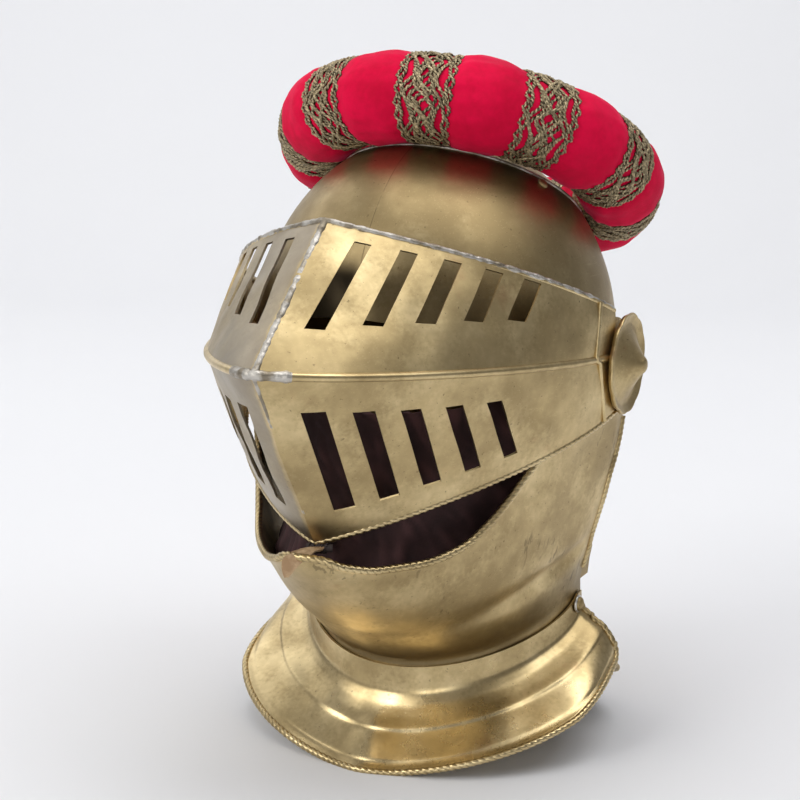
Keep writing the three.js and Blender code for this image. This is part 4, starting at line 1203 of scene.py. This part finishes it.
def brass(
    name, tone=0.5, rough=0.27, stains=0.6,
    seam=False, rim=False, tin_and_reflection=False, ropes=False, waist=False,
):
    m = Material(name, Metallic=1.0)
    big = m.noise(14, 5, rough=0.6)
    mid = m.noise(70, 4)
    small = m.noise(420, 3)
    patch = (big * 0.6 + mid * 0.3 + small * 0.1 + (tone - 0.5) * 0.4).above(0.38, 0.66)
    colour = patch.blend(OLIVE, BRASS)
    rubbed = (m.noise(26, 5) * 0.8 + small * 0.2 + (tone - 0.5)).above(0.50, 0.72)
    colour = (rubbed * 0.8).blend(colour, PALE)
    if stains:
        copper = (m.noise(24, 3) * 0.8 + m.noise(130, 3) * 0.2).above(0.60, 0.70)
        colour = (copper * stains).blend(colour, COPPER)
    specks = m.noise(520, 3).above(0.66, 0.74)
    colour = (specks * 0.55).blend(colour, BROWN)
    colour = (m.noise(210, 4).above(0.45, 0.7) * 0.28).blend(colour, OLIVE)
    scratch = m.noise(60, 2, stretch=(22, 1.3, 22)).above(0.64, 0.68)
    colour = (scratch * 0.2).blend(colour, PALE)
    streaks = m.noise(40, 3, stretch=(1, 1, 9)).above(0.35, 0.75)
    height = mid * 0.5 + small * 0.1 - scratch * 0.1 + streaks * 0.15
    if seam:
        line = 1 - m.axis(0).math("ABSOLUTE", 0).above(0.0001, 0.0004)
        line = line * m.noise(90, 2).above(0.3, 0.5)
        colour = (line * 0.5).blend(colour, BROWN)
        height = height - line * 0.8
    if rim:
        colour = (big * 0.35 + 0.12).blend(colour, BROWN)
        p = to_frame([CROWN_EDGE])[0]
        over = m.axis(1) * crown_normal.y + m.axis(2) * crown_normal.z
        over = over - (crown_normal.y * p[1] + crown_normal.z * p[2])
        colour = (over.above(-0.012, -0.002) * 0.45).blend(colour, BROWN)
        # painted shade: the brow behind the visor's upper slots is darkened nearly to black, most
        # where x is below zero
        brow_shade = 1 - m.axis(2).above(0.262, 0.276)
        brow_shade = brow_shade * (1 - m.axis(0).math("ABSOLUTE", 0).above(0.04, 0.065))
        brow_shade = brow_shade * (1 - m.axis(1).above(-0.05, -0.03))
        middle = 1 - m.axis(0).above(-0.004, 0.004)
        colour = (brow_shade * (0.35 + middle * 0.6)).blend(colour, PAINTED_SHADE_BLACK)
    if tin_and_reflection:
        # a grey wash on the wearer's right panels: tin, and a painted reflection of the light on
        # that side
        x = m.axis(0) + m.noise(160, 3) * 0.004 - 0.002
        tin_reflection_wash = (1 - x.above(-0.004, -0.0005)) * x.above(-0.085, -0.03)
        colour = (tin_reflection_wash * (0.3 + big * 0.8)).blend(colour, TIN_AND_REFLECTION_GREY)
    if waist:
        ahead = ((SHIFT_Y + BEVOR_Y * MM) - m.axis(1)).above(0, 0.08)
        over = m.axis(2) - NECK_Z * MM + ahead * (NECK_SAG * MM) + mid * 0.006
        colour = ((1 - over.above(0.014, 0.034)) * 0.5).blend(colour, BROWN)
        rubs = m.noise(300, 2, stretch=(1, 1, 0.12)).above(0.60, 0.66)
        rubs = rubs * m.noise(22, 2).above(0.5, 0.6)
        colour = (rubs * 0.5).blend(colour, BROWN)
    if ropes:
        # painted shade: the rope's grooves, low in the stored height, are darkened towards brown
        height_shade = m.attribute("height").above(0.1, 0.8)
        colour = (height_shade * 0.6 + 0.4).blend(BROWN, colour)
    return m.finish(colour, rough + (1 - patch) * 0.14 + small * 0.1, height, 0.16, 0.0006)


def solder(name):
    m = Material(name, Metallic=1.0)
    lumps = m.noise(520, 4)
    grime = m.noise(120, 3).above(0.38, 0.60)
    colour = grime.blend((0.28, 0.24, 0.18), (0.56, 0.53, 0.48))
    return m.finish(colour, 0.32 + lumps * 0.25, lumps, 0.6, 0.001)


plate_brass = brass("worn_brass", tone=0.52)
bevor_brass = brass("bevor_brass", tone=0.54, waist=True)
visor_brass = brass("visor_brass", tone=0.55, tin_and_reflection=True, stains=0.3)
# the bowl's rim switch also paints shade on the brow behind the visor
bowl_brass = brass("bowl_brass", tone=0.45, seam=True, rim=True, stains=0.75)
cap_brass = brass("cap_brass", tone=0.3, rough=0.36)
neck_brass = brass("neck_brass", tone=0.6, rough=0.2, stains=0.35)
edge_brass = brass("edge_brass", tone=0.6, rough=0.24, stains=0, ropes=True)
visor_brass.onto(visor_plate)
plate_brass.onto(pivot_left, pivot_right)
bevor_brass.onto(bevor_plate)
bowl_brass.onto(skull_plate)
cap_brass.onto(crown_cap, *rivets)
neck_brass.onto(neck_front, neck_rear)
edge_brass.onto(visor_rope, bevor_rope, rope_front, rope_rear, ridge_bead, top_roll)
edge_brass.onto(*borders, *bevor_edges)
solder("solder").onto(*solder_seams, crown_edge)
steel = Material("washer_steel", Metallic=1.0)
steel_colour = steel.noise(300, 3).blend((0.5, 0.48, 0.44), (0.75, 0.73, 0.7))
steel.finish(steel_colour, 0.25 + steel.noise(500, 2) * 0.2).onto(*washers)
for node in ("pivot_nut_left", "pivot_nut_right", "catch_strip_left", "catch_strip_right"):
    cap_brass.onto(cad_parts[node])
print("metals made:", len(bpy.data.materials))

# %% [markdown]
# The cloths differ in weave and nap, and the lace is dull metal thread. Grooves and
# folds were stored with the meshes as a height, which paints shade into them here.

# %% Cloth, lace and leather
crimson = Material(
    "crimson_cloth", Specular_IOR_Level=0.15, Sheen_Weight=0.12, Sheen_Roughness=0.4,
    Sheen_Tint=(1.0, 0.25, 0.5, 1),
)
nap = crimson.noise(260, 4)
weave = crimson.noise(2600, 2)
tint = crimson.noise(24, 3)
shade = (tint * 0.7 + nap * 0.3).above(0.3, 0.7)
crimson_colour = shade.blend((0.56, 0.0, 0.03), (0.80, 0.002, 0.055))
crimson.finish(crimson_colour, 0.78 + nap * 0.15, weave * 0.6 + nap * 0.4, 0.35, 0.0004)
crimson.onto(wreath_pad)

gilt = Material("lace_thread", Metallic=0.85)
wear = gilt.noise(190, 4)
thread_grain = gilt.noise(1700, 2)
# painted shade on each strand's underside and on cords that pass under others, painted light on the
# raised ones
height_shade = gilt.attribute("height").above(0.25, 0.95)
fleck = gilt.noise(620, 2).above(0.5, 0.62)
gilt_tone = (wear * 0.5 + height_shade * 0.8 - 0.15) * (0.7 + fleck * 0.5)
gilt_colour = gilt_tone.above(0.2, 1.05).blend((0.035, 0.026, 0.014), (0.60, 0.49, 0.30))
gilt.finish(gilt_colour, 0.38 + thread_grain * 0.25, thread_grain, 0.7, 0.0004).onto(*lace)

burgundy = Material("lining_cloth")
grain = burgundy.noise(1900, 3)
# painted light on the folds' crests and painted shade in their hollows, from the stored height
fold_light = burgundy.attribute("height").above(0.25, 0.9)
burgundy_tone = burgundy.noise(40, 4).above(0.3, 0.7) * 0.3 + fold_light * 0.7
burgundy_colour = burgundy_tone.blend((0.022, 0.008, 0.008), (0.105, 0.042, 0.042))
burgundy.finish(burgundy_colour, 0.8 + grain * 0.15, grain, 0.4, 0.0005).onto(lining_cloth)

leather = Material("tab_leather")
pores = leather.noise(1400, 3)
tanned = leather.noise(110, 4).above(0.35, 0.65)
leather_colour = tanned.blend((0.36, 0.22, 0.11), (0.76, 0.56, 0.34))
leather.finish(leather_colour, 0.55 + pores * 0.25, pores, 0.5, 0.0005).onto(tab)

dark_thread = Material("dark_thread")
fibre = dark_thread.noise(2400, 2)
thread_colour = fibre.blend((0.02, 0.015, 0.015), (0.07, 0.05, 0.045))
dark_thread.finish(thread_colour, 0.7 + fibre * 0.2).onto(thread)
print("materials:", len(bpy.data.materials))

# %% [markdown]
# ## Floor, light and camera
# A plain paper sweep stands behind, and large soft lights leave the long pale
# reflections that brass shows in a studio. The camera has the photograph's angle.

# %% Floor, light and camera
SWEEP_FRONT, SWEEP_BACK, SWEEP_RADIUS, SWEEP_TOP, SWEEP_SIDE = -3500, 1500, 700, 3500, 5000
profile = [(SWEEP_FRONT, 0), (SWEEP_BACK, 0)]
profile += [
    (SWEEP_BACK + SWEEP_RADIUS * sin(a), SWEEP_RADIUS * (1 - cos(a)))
    for a in np.radians(np.linspace(6, 90, 15))
]
profile.append((SWEEP_BACK + SWEEP_RADIUS, SWEEP_TOP))
turn = Matrix.Rotation(AZIMUTH, 3, "Z")
ends = (-SWEEP_SIDE, SWEEP_SIDE)
grid = [[turn @ Vector((x, y, z)) for x in ends] for y, z in profile]
backdrop = smooth(grid_piece("backdrop", grid), ROUND)
paper = Material("floor_paper", Specular_IOR_Level=0.1)
paper_colour = paper.noise(3, 2).blend((0.80, 0.805, 0.825), (0.82, 0.825, 0.84))
paper.finish(paper_colour, 0.7 + paper.noise(8, 2) * 0.1).onto(backdrop)

world = bpy.data.worlds.new("studio")
bpy.context.scene.world = world
world.use_nodes = True
sky = world.node_tree.nodes["Background"]
sky.inputs["Color"].default_value = (0.90, 0.90, 0.93, 1)
sky.inputs["Strength"].default_value = 0.26

# place, aim, size and power of each softbox
SOFTBOXES = {
    "key": ((-1.3, -2.1, 1.6), (0, 0, 0.15), 1.5, 34),
    "top": ((-0.1, -0.1, 2.3), (0, 0, 0.2), 1.4, 11),
    "side": ((-2.1, 0.5, 1.7), (0, 0, 0.2), 1.5, 8),
    "fill": ((1.1, 0.1, 2.1), (0, 0, 0.2), 1.1, 10),
    "low": ((0.5, -2.0, 0.35), (0, 0, 0.1), 1.0, 7),
    "wall": ((0.0, 0.8, 2.6), (-0.4, 2.6, 0.8), 1.8, 27),
}
for name, (place, aim, size, power) in SOFTBOXES.items():
    lamp = bpy.data.lights.new(name, "AREA")
    lamp.energy, lamp.size = power, size
    holder = bpy.data.objects.new(name, lamp)
    holder.location = place
    holder.rotation_euler = (Vector(aim) - Vector(place)).to_track_quat("-Z", "Y").to_euler()
    bpy.context.collection.objects.link(holder)

ELEVATION, ROLL, SENSOR = radians(12), radians(0.5), 36
DISTANCE, ASIDE, AIM_Z = 1.03, -0.0156, 0.1839
# pixels to a millimetre at the aim, and the photograph's width in pixels
PIXELS_PER_MM, PHOTO_WIDTH = 1.83, 800
right = ACROSS
flat_back = Vector((sin(AZIMUTH), -cos(AZIMUTH), 0))
back = flat_back * cos(ELEVATION) + Vector((0, 0, sin(ELEVATION)))
up = back.cross(right)
turned_right = right * cos(ROLL) + up * sin(ROLL)
turned_up = up * cos(ROLL) - right * sin(ROLL)
lens = bpy.data.cameras.new("camera")
lens.sensor_width, lens.lens = SENSOR, SENSOR * PIXELS_PER_MM * DISTANCE / MM / PHOTO_WIDTH
lens.clip_start = 0.01
camera = bpy.data.objects.new("camera", lens)
place = right * ASIDE + Vector((0, SHIFT_Y, AIM_Z)) + back * DISTANCE
pose = Matrix((turned_right, turned_up, back)).transposed().to_4x4()
pose.translation = place
camera.matrix_world = pose
bpy.context.collection.objects.link(camera)
bpy.context.scene.camera = camera
bpy.context.scene.view_settings.view_transform = "Standard"
print("the camera stands at", [round(v, 3) for v in place])
